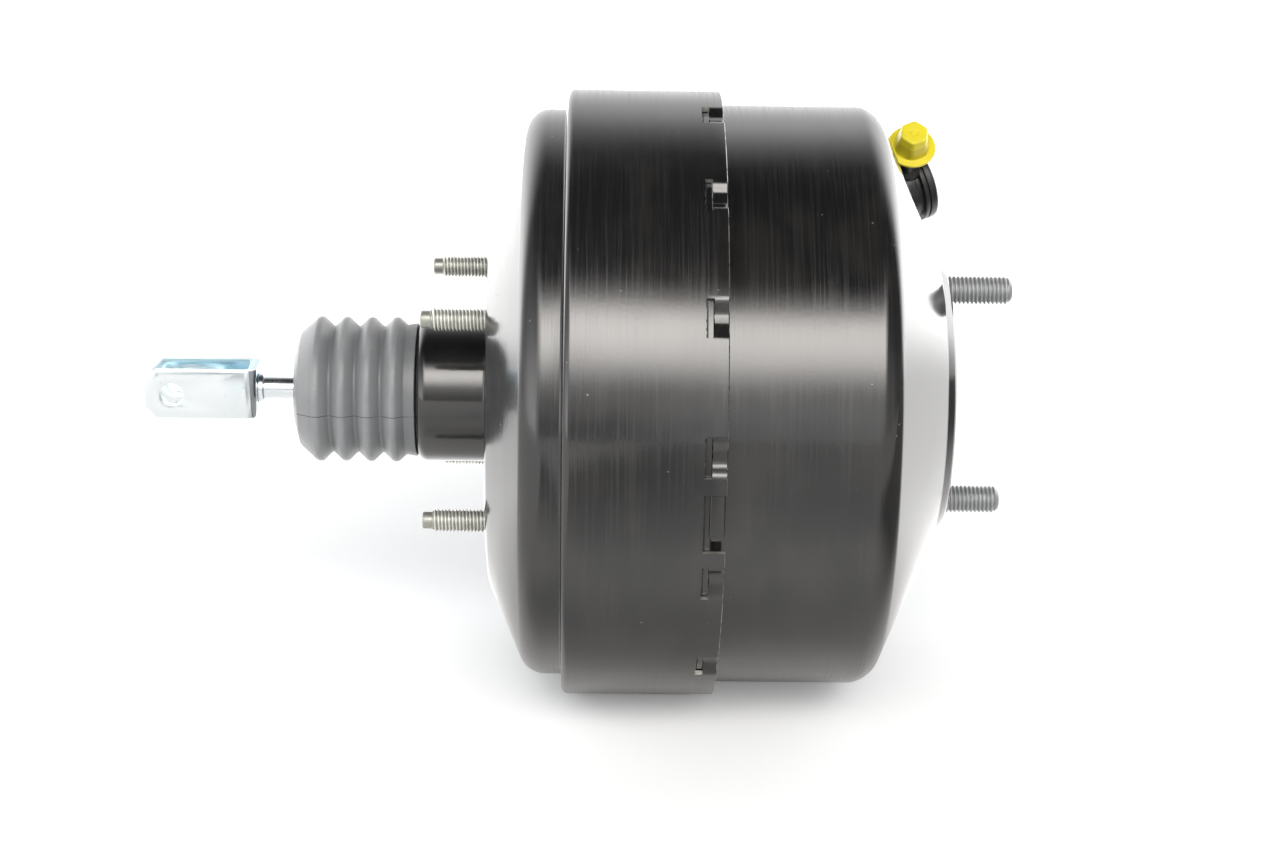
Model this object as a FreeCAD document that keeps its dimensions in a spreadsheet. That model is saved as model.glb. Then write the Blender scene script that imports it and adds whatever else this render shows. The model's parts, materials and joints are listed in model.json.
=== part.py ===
"""Tandem vacuum brake booster, modelled as a parametric document of separate sub-parts.

The booster lies along the X axis. The origin is the centre of the flat face that bolts to the
bulkhead, the pedal side is -X and the master cylinder side is +X. All lengths are millimetres.

Each driving size is a cell of the spreadsheet. A Size carries the cell's number together with the
expression that names it, so that a formula written once gives both the first place of a sketch
corner and the expression that the constraint is bound to.
"""
import FreeCAD, Part
import math
import os
import Sketcher

DOCUMENT_NAME = "brake_booster"
SHEET_NAME = "Sizes"
PARTS_FOLDER = "parts"
WIRE_SIDES = 12

DRIVING_SIZES = {
    "sheet_wall": (1.6, "thickness of the drawn steel casings"),
    "plate_wall": (1.4, "thickness of the pressed plates inside"),
    "rubber_wall": (1.4, "thickness of the rolling diaphragms"),
    "free_gap": (0.3, "gap between pieces that move past each other"),
    "slip_gap": (0.1, "radial gap of pieces that are slipped together"),
    "guide_gap": (0.05, "radial gap of a running fit"),
    "neck_length": (26.6, "neck behind the flat face"),
    "neck_room": (7.3, "from the valve body to the outside of the neck"),
    "neck_turn": (5.0, "how far the end of the neck is turned in"),
    "neck_corner": (4.0, "outer rounding of the neck's end"),
    "neck_root": (2.5, "rounding where the neck meets the flat face"),
    "flat_radius": (69.5, "where the flat face would meet the rear cone"),
    "flat_corner": (14.0, "rounding between the flat face and the rear cone"),
    "rear_cone_angle": (23.7, "slope of the rear cone, degrees from the flat face"),
    "rear_drum_radius": (102.5, "outside of the rear drum"),
    "rear_drum_corner": (9.0, "rounding between the rear cone and the rear drum"),
    "rim_step": (26.8, "place of the step from the rear drum to the rim"),
    "rim_step_corner": (2.6, "outer rounding of the step"),
    "rim_step_root": (1.0, "hollow rounding at the foot of the step"),
    "rim_rise": (7.1, "step from the rear drum out to the rim"),
    "rim_length": (54.0, "from the step to the free edge of the rim"),
    "tab_count": (15, "lanced tabs round the rim"),
    "tab_width": (13.4, "length of each tab round the rim"),
    "tab_slot": (2.6, "slot behind each tab"),
    "tab_strip": (5.0, "strip of each tab"),
    "tab_dent": (2.5, "how far each strip is pressed inwards"),
    "tab_turn": (6.0, "turn of the first tab from +Y towards +Z, degrees"),
    "notch_turn": (186.0, "turn of the locating notch from +Y towards +Z, degrees"),
    "notch_width": (21.8, "length of the locating notch round the rim"),
    "notch_depth": (6.0, "how far the notch is cut back from the edge"),
    "front_drum_gap": (3.2, "from the inside of the rim to the front drum"),
    "flange_root": (0.8, "rounding between the locked flange and the front drum"),
    "front_drum_corner": (9.5, "rounding between the front drum and the front cone"),
    "front_cone_angle": (24.2, "slope of the front cone, degrees from its flat"),
    "boss_rise": (3.9, "height of the raised boss over the front cone"),
    "boss_margin": (13.0, "from the axis of the front studs to the foot of the boss"),
    "boss_foot_corner": (4.0, "hollow rounding at the foot of the boss"),
    "boss_angle": (41.0, "slope of the boss's flank, degrees from its flat"),
    "boss_corner": (5.0, "rounding round the top of the boss"),
    "front_face": (163.3, "top of the boss, the face that the master cylinder bolts to"),
    "front_bore": (19.0, "bore for the master cylinder's nose"),
    "rear_stud_spacing": (74.0, "square of the studs on the bulkhead side"),
    "rear_stud_radius": (4.0, "M8 stud"),
    "rear_stud_shank": (4.4, "knurled shank of the M8 stud in its hole"),
    "rear_stud_reach": (23.0, "from the flat face to the end of the dog point"),
    "dog_radius": (3.0, "dog point of the M8 stud"),
    "dog_length": (3.4, "length of the dog point"),
    "rear_head_radius": (7.5, "head of the M8 stud"),
    "rear_head_height": (3.2, "height of that head"),
    "front_stud_spacing": (80.0, "the two studs on the master cylinder side"),
    "front_stud_radius": (5.0, "M10 stud"),
    "front_stud_shank": (5.4, "knurled shank of the M10 stud in its hole"),
    "front_stud_reach": (24.2, "from the boss to the end of the stud"),
    "front_stud_round": (1.2, "rounded end of the M10 stud"),
    "front_head_radius": (6.8, "head of the M10 stud"),
    "front_head_height": (2.8, "height of that head"),
    "backing_wall": (2.5, "thickness of the stud plates"),
    "backing_edge": (7.0, "rear stud plate beyond the axis of its studs"),
    "backing_corner": (12.0, "corner of the rear stud plate"),
    "backing_gap": (2.1, "from the neck to the hole in the rear stud plate"),
    "front_plate_edge": (5.0, "front stud plate beyond its bore and the axis of its studs"),
    "front_plate_corner": (21.0, "corner of the front stud plate"),
    "tube_radius": (18.6, "outside of the valve body's tube"),
    "tube_end": (67.9, "the tube's pedal end, behind the flat face"),
    "tube_wall": (3.0, "wall of the tube on the pedal side"),
    "chamber_floor": (12.0, "floor of that bore, behind the flat face"),
    "seat_gap": (3.0, "from the bore to the vacuum seat ring"),
    "seat_width": (1.2, "width of the vacuum seat ring"),
    "seat_rise": (1.4, "height of the vacuum seat ring"),
    "rear_web_gap": (2.97, "from the inside of the rear cone to the rear diaphragm's web"),
    "flange_length": (3.6, "flange that carries the rear support plate"),
    "flange_rise": (5.4, "that flange beyond the tube"),
    "front_plate_set": (4.0, "from the front support plate to the front bead"),
    "nose_step": (1.6, "step from the tube down to its nose"),
    "nose_length": (8.0, "nose of the valve body from the front support plate"),
    "port_count": (3, "vacuum passages in the valve body"),
    "port_radius": (1.2, "each vacuum passage"),
    "plunger_radius": (8.0, "guide of the plunger"),
    "plunger_flange_room": (1.4, "room round the air valve rim of the plunger in the vacuum seat"),
    "plunger_nose": (5.5, "nose that meets the reaction disc"),
    "plunger_front": (14.5, "front of the plunger's guide"),
    "plunger_lip": (2.3, "length of the plunger's rim"),
    "valve_travel": (1.5, "travel of the plunger in the valve body"),
    "key_place": (4.0, "pedal side of the stop key"),
    "key_wall": (2.5, "thickness of the stop key"),
    "key_half_width": (7.0, "half the width of the stop key"),
    "key_top": (22.0, "outer end of the stop key"),
    "key_tail": (9.0, "inner end of the stop key's legs"),
    "groove_radius": (4.5, "core of the plunger's groove"),
    "ball_place": (5.0, "centre of the rod's ball, behind the flat face"),
    "ball_radius": (4.8, "ball of the input rod"),
    "ball_gap": (0.2, "play of the ball in its socket"),
    "ball_catch": (3.2, "how far the socket closes behind the ball's centre"),
    "throat_gap": (0.7, "room round the rod's neck in the socket's throat"),
    "throat_flare": (2.3, "room round the rod where the throat opens"),
    "rod_neck_radius": (3.2, "neck behind the ball"),
    "rod_neck_shown": (2.7, "length of that neck beyond the ball"),
    "rod_neck_taper": (1.6, "taper from the neck to the shank"),
    "rod_stake_step": (0.4, "step of the rod down to its hole in the fork"),
    "rod_radius": (4.3, "shank of the input rod"),
    "rod_collar_radius": (5.5, "upset collar against the fork"),
    "rod_collar_length": (2.2, "length of that collar"),
    "rod_play": (3.4, "room for the rod to swing in the rubber and felt parts"),
    "rod_shown": (13.9, "rod between the boot and the fork"),
    "fork_wall": (3.2, "plate of the fork"),
    "fork_length": (40.1, "from the base to the end of the ears"),
    "fork_height": (18.0, "width of the bent plate"),
    "fork_width": (19.6, "outside of the two ears"),
    "fork_bend": (4.2, "outer bend radius"),
    "fork_cut": (4.2, "cut corners of the ears"),
    "pin_place": (30.2, "from the base to the pin hole"),
    "pin_radius": (4.0, "pin hole"),
    "rivet_radius": (5.4, "staked end of the rod inside the fork"),
    "rivet_height": (1.8, "height of the staked end"),
    "pocket_depth": (32.0, "pocket of the reaction disc and the output rod"),
    "pocket_wall": (3.0, "wall round that pocket"),
    "disc_length": (7.0, "reaction disc"),
    "rod_head_length": (5.0, "head of the output rod"),
    "rod_head_round": (1.5, "rounding between that head and the shank"),
    "output_radius": (6.0, "shank of the output rod"),
    "output_thread": (4.0, "threaded front of the output rod"),
    "adjuster_length": (17.0, "adjuster on the output rod"),
    "output_gap": (7.0, "from the front end of the adjuster to the front face"),
    "adjuster_radius": (6.5, "adjuster on the output rod"),
    "adjuster_cap": (4.7, "closed end of the adjuster"),
    "retainer_length": (2.0, "star washer over the output rod's head"),
    "centre_plate_set": (13.0, "from the centre plate to the front support plate"),
    "centre_gap": (5.7, "from the valve body to the hole of the centre plate"),
    "cup_gap": (1.3, "from the rear diaphragm to the centre plate's cup"),
    "bead_length": (4.6, "diaphragm bead at the step"),
    "front_bead_length": (5.9, "front diaphragm's bead"),
    "rear_roll": (8.8, "width of the rear diaphragm's roll"),
    "front_roll": (9.7, "width of the front diaphragm's roll"),
    "plate_lip": (4.5, "lip of each support plate, over the plate"),
    "hub_bead_length": (4.6, "bead of each diaphragm on the valve body"),
    "hub_bead_rise": (4.4, "that bead beyond the valve body"),
    "roll_gap": (1.2, "from the rear diaphragm to the drum"),
    "seal_length": (8.2, "seal of the centre plate"),
    "seal_catch": (2.7, "flanges of that seal beyond the hole"),
    "seal_flange": (1.2, "thickness of those flanges"),
    "neck_bearing_gap": (2.6, "from the boot's lip to the bearing ring in the neck"),
    "neck_bearing_length": (8.0, "bearing ring in the neck"),
    "neck_seal_length": (8.0, "lip seal in the neck"),
    "spring_gap": (7.0, "from the lock ring to the middle of the return spring"),
    "spring_wire": (2.0, "wire radius of the return spring"),
    "spring_turns": (5.0, "turns of the return spring"),
    "spring_seat_edge": (3.5, "seat beyond the middle of the return spring"),
    "spring_seat_wall": (1.5, "thickness of that seat"),
    "spring_seat_gap": (1.5, "from the bore of the front casing to the hole in that seat"),
    "lock_ring_length": (2.0, "ring that locks the front support plate"),
    "lock_ring_rise": (4.0, "that ring beyond the nose"),
    "boot_end_step": (4.6, "flat round the boot's mouth, inside the outside of the valve body"),
    "boot_end_wall": (2.4, "thickness of that flat"),
    "boot_wall": (1.8, "wall of the bellows"),
    "boot_lead": (9.0, "from the mouth to the first crest"),
    "boot_tail": (3.79, "from the last crest to the collar"),
    "boot_shoulder_place": (1.9, "from the mouth to the shoulder before the first crest"),
    "boot_shoulder_drop": (6.1, "from the crests down to that shoulder"),
    "boot_crests": (4, "crests of the bellows"),
    "boot_crest_rise": (4.3, "crests over the valleys"),
    "boot_valley_gap": (4.0, "from the valve body to the outside of the valleys"),
    "boot_collar_step": (1.7, "collar below the outside of the neck"),
    "boot_collar_length": (4.0, "length of that collar"),
    "boot_lip_length": (2.4, "lip inside the neck"),
    "boot_lip_catch": (1.0, "lip beyond the mouth of the neck"),
    "boot_tube_gap": (0.7, "from the valve body to the lip"),
    "poppet_face": (14.2, "face of the poppet, behind the flat face"),
    "poppet_wall": (2.0, "face disc of the poppet"),
    "poppet_room": (2.0, "room round the poppet's sleeve"),
    "poppet_sleeve_wall": (1.4, "wall of that sleeve"),
    "poppet_length": (13.4, "poppet from face to bead"),
    "poppet_bore": (7.4, "hole in the poppet"),
    "poppet_spring_room": (0.8, "room round the poppet spring in the poppet's sleeve"),
    "poppet_spring_wire": (0.6, "wire radius of the poppet spring"),
    "retainer_bore": (9.4, "hole in the poppet's retainer"),
    "poppet_retainer_length": (2.4, "poppet's retainer"),
    "rod_spring_edge": (1.6, "from the middle of the input return spring to the edge of its seat"),
    "rod_spring_wire": (0.8, "wire radius of the input return spring"),
    "rod_spring_length": (13.0, "input return spring as fitted"),
    "rod_seat_room": (3.4, "room round the seat of that spring on the rod"),
    "rod_seat_length": (2.0, "thickness of that seat"),
    "filter_gap": (5.6, "from the rod's spring seat to the foam filter"),
    "silencer_length": (3.0, "felt silencer"),
    "valve_inset": (19.0, "from the front drum to the check valve"),
    "valve_turn": (45.0, "check valve, turned from +Y towards +Z, degrees"),
    "grommet_hole": (9.5, "hole for the grommet"),
    "grommet_bore": (7.5, "bore of the grommet"),
    "grommet_rim": (13.0, "outer flange of the grommet"),
    "grommet_rim_wall": (2.5, "thickness of that flange"),
    "grommet_barb": (11.0, "inner flange of the grommet"),
    "grommet_barb_wall": (3.0, "thickness of the inner flange"),
    "stem_radius": (7.2, "stem of the check valve"),
    "stem_end": (9.0, "how far the stem reaches in"),
    "stem_bore": (3.5, "bore of the stem"),
    "valve_radius": (14.6, "ring and top of the check valve"),
    "valve_barrel": (13.4, "barrel of the check valve, below its ring"),
    "valve_foot": (2.8, "underside of the disc over the cone"),
    "valve_foot_wall": (1.6, "disc of the valve's base"),
    "cover_height": (14.4, "cover of the check valve"),
    "cover_wall": (1.6, "top of that cover"),
    "cover_bore": (11.2, "inside of that cover"),
    "cover_band": (3.2, "plain band at the top of that cover"),
    "cover_slit": (0.6, "narrow groove under the band"),
    "cover_slit_radius": (13.8, "floor of the narrow groove"),
    "cover_ring": (1.6, "ring under the narrow groove"),
    "cover_groove": (1.6, "wide groove under the ring"),
    "cover_groove_radius": (12.6, "floor of the wide groove"),
    "spigot_height": (1.0, "ring of the base inside the cover"),
    "nozzle_height": (10.8, "axis of the nozzle over the cone"),
    "nozzle_radius": (3.7, "nozzle"),
    "nozzle_barb": (4.3, "barb of the nozzle"),
    "nozzle_bore": (2.4, "bore of the nozzle"),
    "nozzle_reach": (33.0, "end of the nozzle from the disc's axis"),
    "check_radius": (6.5, "rubber disc of the check valve"),
    "check_wall": (1.4, "thickness of the rubber disc"),
    "check_spring_radius": (4.0, "mean radius of the check spring"),
    "check_spring_wire": (0.4, "wire radius of the check spring"),
    "cap_cover": (6.4, "length of the nozzle inside the cap"),
    "cap_flange_radius": (9.0, "flange of the transport cap"),
    "cap_flange_wall": (1.2, "thickness of that flange"),
    "cap_length": (10.4, "transport cap"),
    "cap_root": (6.35, "outside of the cap at its flange"),
    "cap_tip": (4.95, "outside of the cap at its end"),
    "cap_wall": (0.8, "wall of the transport cap"),
}


class Size:
    """A number and the expression that gives it from the spreadsheet."""

    def __init__(self, value, text):
        self.value = value
        self.text = text

    @staticmethod
    def of(other):
        """Return other as a Size, so that plain numbers mix with named sizes."""
        if isinstance(other, Size):
            return other
        return Size(other, repr(other))

    def joined(self, other, sign, value):
        """Return a Size whose expression joins two others with a sign."""
        return Size(value, "({} {} {})".format(self.text, sign, other.text))

    def __add__(self, other):
        other = Size.of(other)
        return self.joined(other, "+", self.value + other.value)

    def __radd__(self, other):
        return Size.of(other) + self

    def __sub__(self, other):
        other = Size.of(other)
        return self.joined(other, "-", self.value - other.value)

    def __rsub__(self, other):
        return Size.of(other) - self

    def __mul__(self, other):
        other = Size.of(other)
        return self.joined(other, "*", self.value * other.value)

    def __rmul__(self, other):
        return Size.of(other) * self

    def __truediv__(self, other):
        other = Size.of(other)
        return self.joined(other, "/", self.value / other.value)

    def __neg__(self):
        return Size(-self.value, "(0 - {})".format(self.text))


def tangent(angle):
    """Return the tangent of a Size in degrees."""
    return Size(math.tan(math.radians(angle.value)), "tan({} * 1 deg)".format(angle.text))


def cosine(angle):
    """Return the cosine of a Size in degrees."""
    return Size(math.cos(math.radians(angle.value)), "cos({} * 1 deg)".format(angle.text))


def sine(angle):
    """Return the sine of a Size in degrees."""
    return Size(math.sin(math.radians(angle.value)), "sin({} * 1 deg)".format(angle.text))


class SizeSheet:
    """The spreadsheet of driving sizes, read as attributes that are Size objects."""

    def __init__(self, document):
        sheet = document.addObject("Spreadsheet::Sheet", SHEET_NAME)
        for row, (alias, (value, meaning)) in enumerate(DRIVING_SIZES.items(), start=1):
            sheet.set("A{}".format(row), alias)
            sheet.set("B{}".format(row), str(value))
            sheet.set("C{}".format(row), meaning)
            sheet.setAlias("B{}".format(row), alias)
            setattr(self, alias, Size(value, "{}.{}".format(SHEET_NAME, alias)))
        document.recompute()


document = FreeCAD.newDocument(DOCUMENT_NAME)
size = SizeSheet(document)
finished_parts = []


def bind(target, prop, amount):
    """Bind a property to the expression of a Size."""
    target.setExpression(prop, Size.of(amount).text)


def finish(part, label, placement=None):
    """Give a sub-part its label and place, and list it for export."""
    part.Label = label
    if placement is not None:
        part.Placement = placement
    finished_parts.append(part)
    return part


def plane_of(body, role):
    """Return one of the body's own origin planes or axes."""
    for feature in body.Origin.OriginFeatures:
        if feature.Role == role:
            return feature
    raise RuntimeError("no plane " + role)


def new_sketch(body, name, role):
    """Return a sketch on one of the body's origin planes."""
    sketch = body.newObject("Sketcher::SketchObject", name)
    sketch.AttachmentSupport = [(plane_of(body, role), "")]
    sketch.MapMode = "FlatFace"
    return sketch


def fix_point(sketch, geometry, point, x, y):
    """Hold a point of the sketch at two sizes, measured from the sketch's origin."""
    for kind, amount in (("DistanceX", x), ("DistanceY", y)):
        index = sketch.addConstraint(Sketcher.Constraint(kind, -1, 1, geometry, point, amount.value))
        bind(sketch, "Constraints[{}]".format(index), amount)


class Corner:
    """A corner of an outline, sharp or rounded by a tangent arc."""

    def __init__(self, x, y, radius=None):
        self.x = Size.of(x)
        self.y = Size.of(y)
        self.radius = None if radius is None else Size.of(radius)

    def vector(self):
        """Return the corner as a vector."""
        return FreeCAD.Vector(self.x.value, self.y.value, 0)


def line_ends(corners):
    """Return, for each side of the outline, its ends between the roundings."""
    count = len(corners)
    trims = []
    for index, corner in enumerate(corners):
        if corner.radius is None:
            trims.append(0.0)
            continue
        here = corner.vector()
        back = (corners[index - 1].vector() - here).normalize()
        ahead = (corners[(index + 1) % count].vector() - here).normalize()
        trims.append(corner.radius.value / math.tan(back.getAngle(ahead) / 2))
    ends = []
    for index in range(count):
        start = corners[index].vector()
        stop = corners[(index + 1) % count].vector()
        along = (stop - start).normalize()
        ends.append((start + along * trims[index], stop - along * trims[(index + 1) % count]))
    return ends


def rounding_arc(before, corner, after, radius):
    """Return the arc that joins two sides at a corner."""
    here = corner.vector()
    back = (before - here).normalize()
    ahead = (after - here).normalize()
    middle = (back + ahead).normalize()
    centre = here + middle * (radius / math.sin(back.getAngle(ahead) / 2))
    angles = [math.atan2(end.y - centre.y, end.x - centre.x) for end in (before, after)]
    swapped = (angles[1] - angles[0]) % (2 * math.pi) > math.pi
    if swapped:
        angles.reverse()
    circle = Part.Circle(centre, FreeCAD.Vector(0, 0, 1), radius)
    return Part.ArcOfCircle(circle, angles[0], angles[1]), swapped


def draw_outline(sketch, corners):
    """Draw a closed outline whose corners are held by sizes of the sheet."""
    ends = line_ends(corners)
    lines = [sketch.addGeometry(Part.LineSegment(start, stop), False) for start, stop in ends]
    count = len(corners)
    for index, corner in enumerate(corners):
        before = lines[index - 1]
        after = lines[index]
        if corner.radius is None:
            sketch.addConstraint(Sketcher.Constraint("Coincident", before, 2, after, 1))
            fix_point(sketch, after, 1, corner.x, corner.y)
            continue
        arc_shape, swapped = rounding_arc(ends[index - 1][1], corner, ends[index][0],
                                          corner.radius.value)
        arc = sketch.addGeometry(arc_shape, False)
        first, last = (2, 1) if swapped else (1, 2)
        sketch.addConstraint(Sketcher.Constraint("Tangent", before, 2, arc, first))
        sketch.addConstraint(Sketcher.Constraint("Tangent", arc, last, after, 1))
        held = sketch.addConstraint(Sketcher.Constraint("Radius", arc, corner.radius.value))
        bind(sketch, "Constraints[{}]".format(held), corner.radius)
        mark = sketch.addGeometry(Part.Point(corner.vector()), True)
        fix_point(sketch, mark, 1, corner.x, corner.y)
        sketch.addConstraint(Sketcher.Constraint("PointOnObject", mark, 1, before))
        sketch.addConstraint(Sketcher.Constraint("PointOnObject", mark, 1, after))


def draw_circle(sketch, x, y, radius):
    """Draw a circle held by sizes of the sheet."""
    x = Size.of(x)
    y = Size.of(y)
    radius = Size.of(radius)
    centre = FreeCAD.Vector(x.value, y.value, 0)
    circle = Part.Circle(centre, FreeCAD.Vector(0, 0, 1), radius.value)
    index = sketch.addGeometry(circle, False)
    fix_point(sketch, index, 3, x, y)
    held = sketch.addConstraint(Sketcher.Constraint("Radius", index, radius.value))
    bind(sketch, "Constraints[{}]".format(held), radius)


def new_body(name):
    """Return an empty body."""
    return document.addObject("PartDesign::Body", name + "_body")


def revolve(body, corners, name="profile"):
    """Turn an outline, drawn as length and radius, round the body's X axis."""
    sketch = new_sketch(body, name, "XY_Plane")
    draw_outline(sketch, corners)
    turned = body.newObject("PartDesign::Revolution", name + "_turned")
    turned.Profile = sketch
    turned.ReferenceAxis = (sketch, ["H_Axis"])
    turned.Angle = 360.0
    sketch.Visibility = False
    return turned


def revolved_part(label, corners):
    """Make a whole sub-part by turning one outline round the X axis."""
    body = new_body(label)
    revolve(body, corners)
    return finish(body, label)


def ring(label, start, length, inner, outer, rounding=None):
    """Make a plain ring round the X axis."""
    stop = Size.of(start) + length
    return revolved_part(label, [
        Corner(start, inner),
        Corner(start, outer, rounding),
        Corner(stop, outer, rounding),
        Corner(stop, inner),
    ])


def extrude(body, role, start, length, draw, name, cut=False, turn=None):
    """Pad or cut a sketch between two places along its plane's normal, turned in its plane."""
    sketch = new_sketch(body, name, role)
    draw(sketch)
    if turn is not None:
        turned = FreeCAD.Rotation(FreeCAD.Vector(0, 0, 1), turn.value)
        sketch.AttachmentOffset = FreeCAD.Placement(FreeCAD.Vector(0, 0, 0), turned)
    bind(sketch, "AttachmentOffset.Base.z", start)
    kind = "PartDesign::Pocket" if cut else "PartDesign::Pad"
    feature = body.newObject(kind, name + "_solid")
    feature.Profile = sketch
    bind(feature, "Length", length)
    feature.Reversed = cut
    sketch.Visibility = False
    return feature


def polar_copies(body, features, count, name):
    """Repeat features round the body's X axis."""
    pattern = body.newObject("PartDesign::PolarPattern", name)
    pattern.Originals = features
    pattern.Axis = (plane_of(body, "X_Axis"), [""])
    pattern.Angle = 360.0
    bind(pattern, "Occurrences", count)
    body.Tip = pattern
    return pattern


def draw_wire(sketch, x, y, radius):
    """Draw a wire's section as a regular polygon, which keeps the faces of a coil simple."""
    corners = []
    for index in range(WIRE_SIDES):
        angle = 2 * math.pi * (index + 0.5) / WIRE_SIDES
        corners.append(Corner(x + radius * math.cos(angle), y + radius * math.sin(angle)))
    draw_outline(sketch, corners)


def coil(label, start, length, radius, wire, turns, placement=None):
    """Make an open coil spring round X."""
    body = new_body(label)
    sketch = new_sketch(body, "wire", "XY_Plane")
    draw_wire(sketch, start, radius, wire)
    wound = body.newObject("PartDesign::AdditiveHelix", "coil")
    wound.Profile = sketch
    wound.ReferenceAxis = (sketch, ["H_Axis"])
    wound.Mode = "height-turns-angle"
    bind(wound, "Height", length)
    bind(wound, "Turns", turns)
    wound.Angle = 0.0
    sketch.Visibility = False
    return finish(body, label, placement)


def root(amount):
    """Return the square root of a Size."""
    return Size(math.sqrt(amount.value), "sqrt({})".format(amount.text))


# Places that several pieces share, worked out from the driving sizes

tube_bore = size.tube_radius + size.slip_gap
neck_radius = size.tube_radius + size.neck_room
neck_mouth = neck_radius - size.neck_turn
chamber_radius = size.tube_radius - size.tube_wall
seat_radius = chamber_radius - size.seat_gap
poppet_sleeve = chamber_radius - size.poppet_room
flange_radius = size.tube_radius + size.flange_rise
nose_radius = size.tube_radius - size.nose_step
pocket_radius = nose_radius - size.pocket_wall
disc_radius = pocket_radius - size.free_gap
centre_bore = size.tube_radius + size.centre_gap
seal_rim = centre_bore + size.seal_catch
hub_bead_radius = size.tube_radius + size.hub_bead_rise
lock_ring_radius = nose_radius + size.lock_ring_rise
spring_radius = lock_ring_radius + size.spring_gap
spring_seat_radius = spring_radius + size.spring_seat_edge

rim_radius = size.rear_drum_radius + size.rim_rise
rim_inside = rim_radius - size.sheet_wall
front_drum_radius = rim_inside - size.front_drum_gap
roll_radius = size.rear_drum_radius - size.sheet_wall - size.roll_gap
centre_cup_radius = roll_radius - size.rubber_wall - size.cup_gap
rear_plate_radius = roll_radius - size.rubber_wall * 2 - size.slip_gap - size.rear_roll
front_plate_radius = (front_drum_radius - size.sheet_wall - size.rubber_wall - size.slip_gap
                      - size.front_roll)
backing_half = size.rear_stud_spacing / 2 + size.backing_edge
backing_bore = neck_radius + size.backing_gap
front_plate_half = size.front_bore + size.front_plate_edge
front_plate_reach = size.front_stud_spacing / 2 + size.front_plate_edge
boss_foot_radius = size.front_stud_spacing / 2 + size.boss_margin
valve_place = front_drum_radius - size.valve_inset

step_inside = size.rim_step + size.sheet_wall
centre_flange_place = step_inside + size.bead_length
rim_end = size.rim_step + size.rim_length
front_flange_place = rim_end - size.tab_strip - size.free_gap - size.sheet_wall
front_bead_place = front_flange_place - size.front_bead_length
front_plate_place = front_bead_place - size.front_plate_set
centre_plate_place = front_plate_place - size.centre_plate_set
valve_body_end = front_plate_place + size.nose_length
disc_place = valve_body_end - size.pocket_depth
disc_front = disc_place + size.disc_length
head_front = disc_front + size.rod_head_length
boss_foot = size.front_face - size.boss_rise
front_plate_back = size.front_face - size.sheet_wall - size.backing_wall
output_end = size.front_face - size.output_gap
output_shoulder = output_end - size.adjuster_length

rear_cone_inside = ((size.rear_drum_radius - size.sheet_wall - size.flat_radius)
                    * tangent(size.rear_cone_angle) + size.sheet_wall / cosine(size.rear_cone_angle))
rear_plate_place = (rear_cone_inside + size.rear_web_gap + size.rubber_wall - size.plate_wall
                    - size.plate_lip)

plunger_rear = -size.poppet_face + size.free_gap
plunger_flange = seat_radius - size.seat_width - size.plunger_flange_room
poppet_spring_radius = (poppet_sleeve - size.poppet_sleeve_wall - size.poppet_spring_wire
                        - size.poppet_spring_room)
rod_seat_radius = chamber_radius - size.rod_seat_room
rod_spring_radius = rod_seat_radius - size.rod_spring_edge
key_front = size.key_place + size.key_wall
poppet_rear = -(size.poppet_face + size.poppet_length)
retainer_rear = poppet_rear - size.poppet_retainer_length
rod_seat_front = retainer_rear - size.rod_spring_length
filter_rear = -size.tube_end + size.free_gap + size.silencer_length
filter_length = rod_seat_front - size.rod_seat_length - size.filter_gap - filter_rear
neck_bearing_place = size.neck_length - size.sheet_wall - size.boot_lip_length - size.neck_bearing_gap
boot_groove = neck_mouth - size.free_gap
boot_lip_radius = neck_mouth + size.boot_lip_catch
boot_lip_bore = size.tube_radius + size.boot_tube_gap
boot_collar_radius = neck_radius - size.boot_collar_step
boot_valley_radius = size.tube_radius + size.boot_valley_gap
boot_crest_radius = boot_valley_radius + size.boot_crest_rise
boot_end_radius = size.tube_radius - size.boot_end_step
boot_mouth = size.tube_end + size.free_gap + size.boot_end_wall
boot_first_crest = boot_mouth - size.boot_lead
boot_last_crest = size.neck_length + size.boot_collar_length + size.boot_tail
boot_pitch = (boot_first_crest - boot_last_crest) / (size.boot_crests - 1)
fork_place = boot_mouth + size.rod_shown
fork_end = -(fork_place + size.fork_length)
fork_inner = size.fork_width / 2 - size.fork_wall
cone_slope = tangent(size.front_cone_angle)
valve_floor = size.valve_foot + size.valve_foot_wall
cover_top = valve_floor + size.cover_height
cover_ceiling = cover_top - size.cover_wall
cap_place = size.nozzle_reach - size.cap_cover


def front_cone_place(radius):
    """Return where along X the outside of the front cone has a radius."""
    return boss_foot + (boss_foot_radius - radius) * cone_slope


def valve_frame(along=0.0, across=0.0):
    """Return the check valve's place: its X leaves the cone and its Y runs along the nozzle."""
    slope = math.radians(size.front_cone_angle.value)
    turn = math.radians(size.valve_turn.value)
    radial = FreeCAD.Vector(0, math.cos(turn), math.sin(turn))
    normal = FreeCAD.Vector(math.cos(slope), 0, 0) + radial * math.sin(slope)
    nozzle = FreeCAD.Vector(0, -math.sin(turn), math.cos(turn))
    foot = radial * valve_place.value
    foot.x = front_cone_place(valve_place).value
    rotation = FreeCAD.Rotation(normal, nozzle, normal.cross(nozzle), "XYZ")
    return FreeCAD.Placement(foot + normal * along + nozzle * across, rotation)


def draw_rounded_box(sketch, half_width, half_height, corner):
    """Draw a rounded box round the sketch's origin."""
    half_width = Size.of(half_width)
    half_height = Size.of(half_height)
    draw_outline(sketch, [
        Corner(-half_width, -half_height, corner),
        Corner(half_width, -half_height, corner),
        Corner(half_width, half_height, corner),
        Corner(-half_width, half_height, corner),
    ])


def draw_box(sketch, left, right, low, high):
    """Draw a plain box between four sizes."""
    draw_outline(sketch, [Corner(left, low), Corner(right, low), Corner(right, high), Corner(left, high)])


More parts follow.
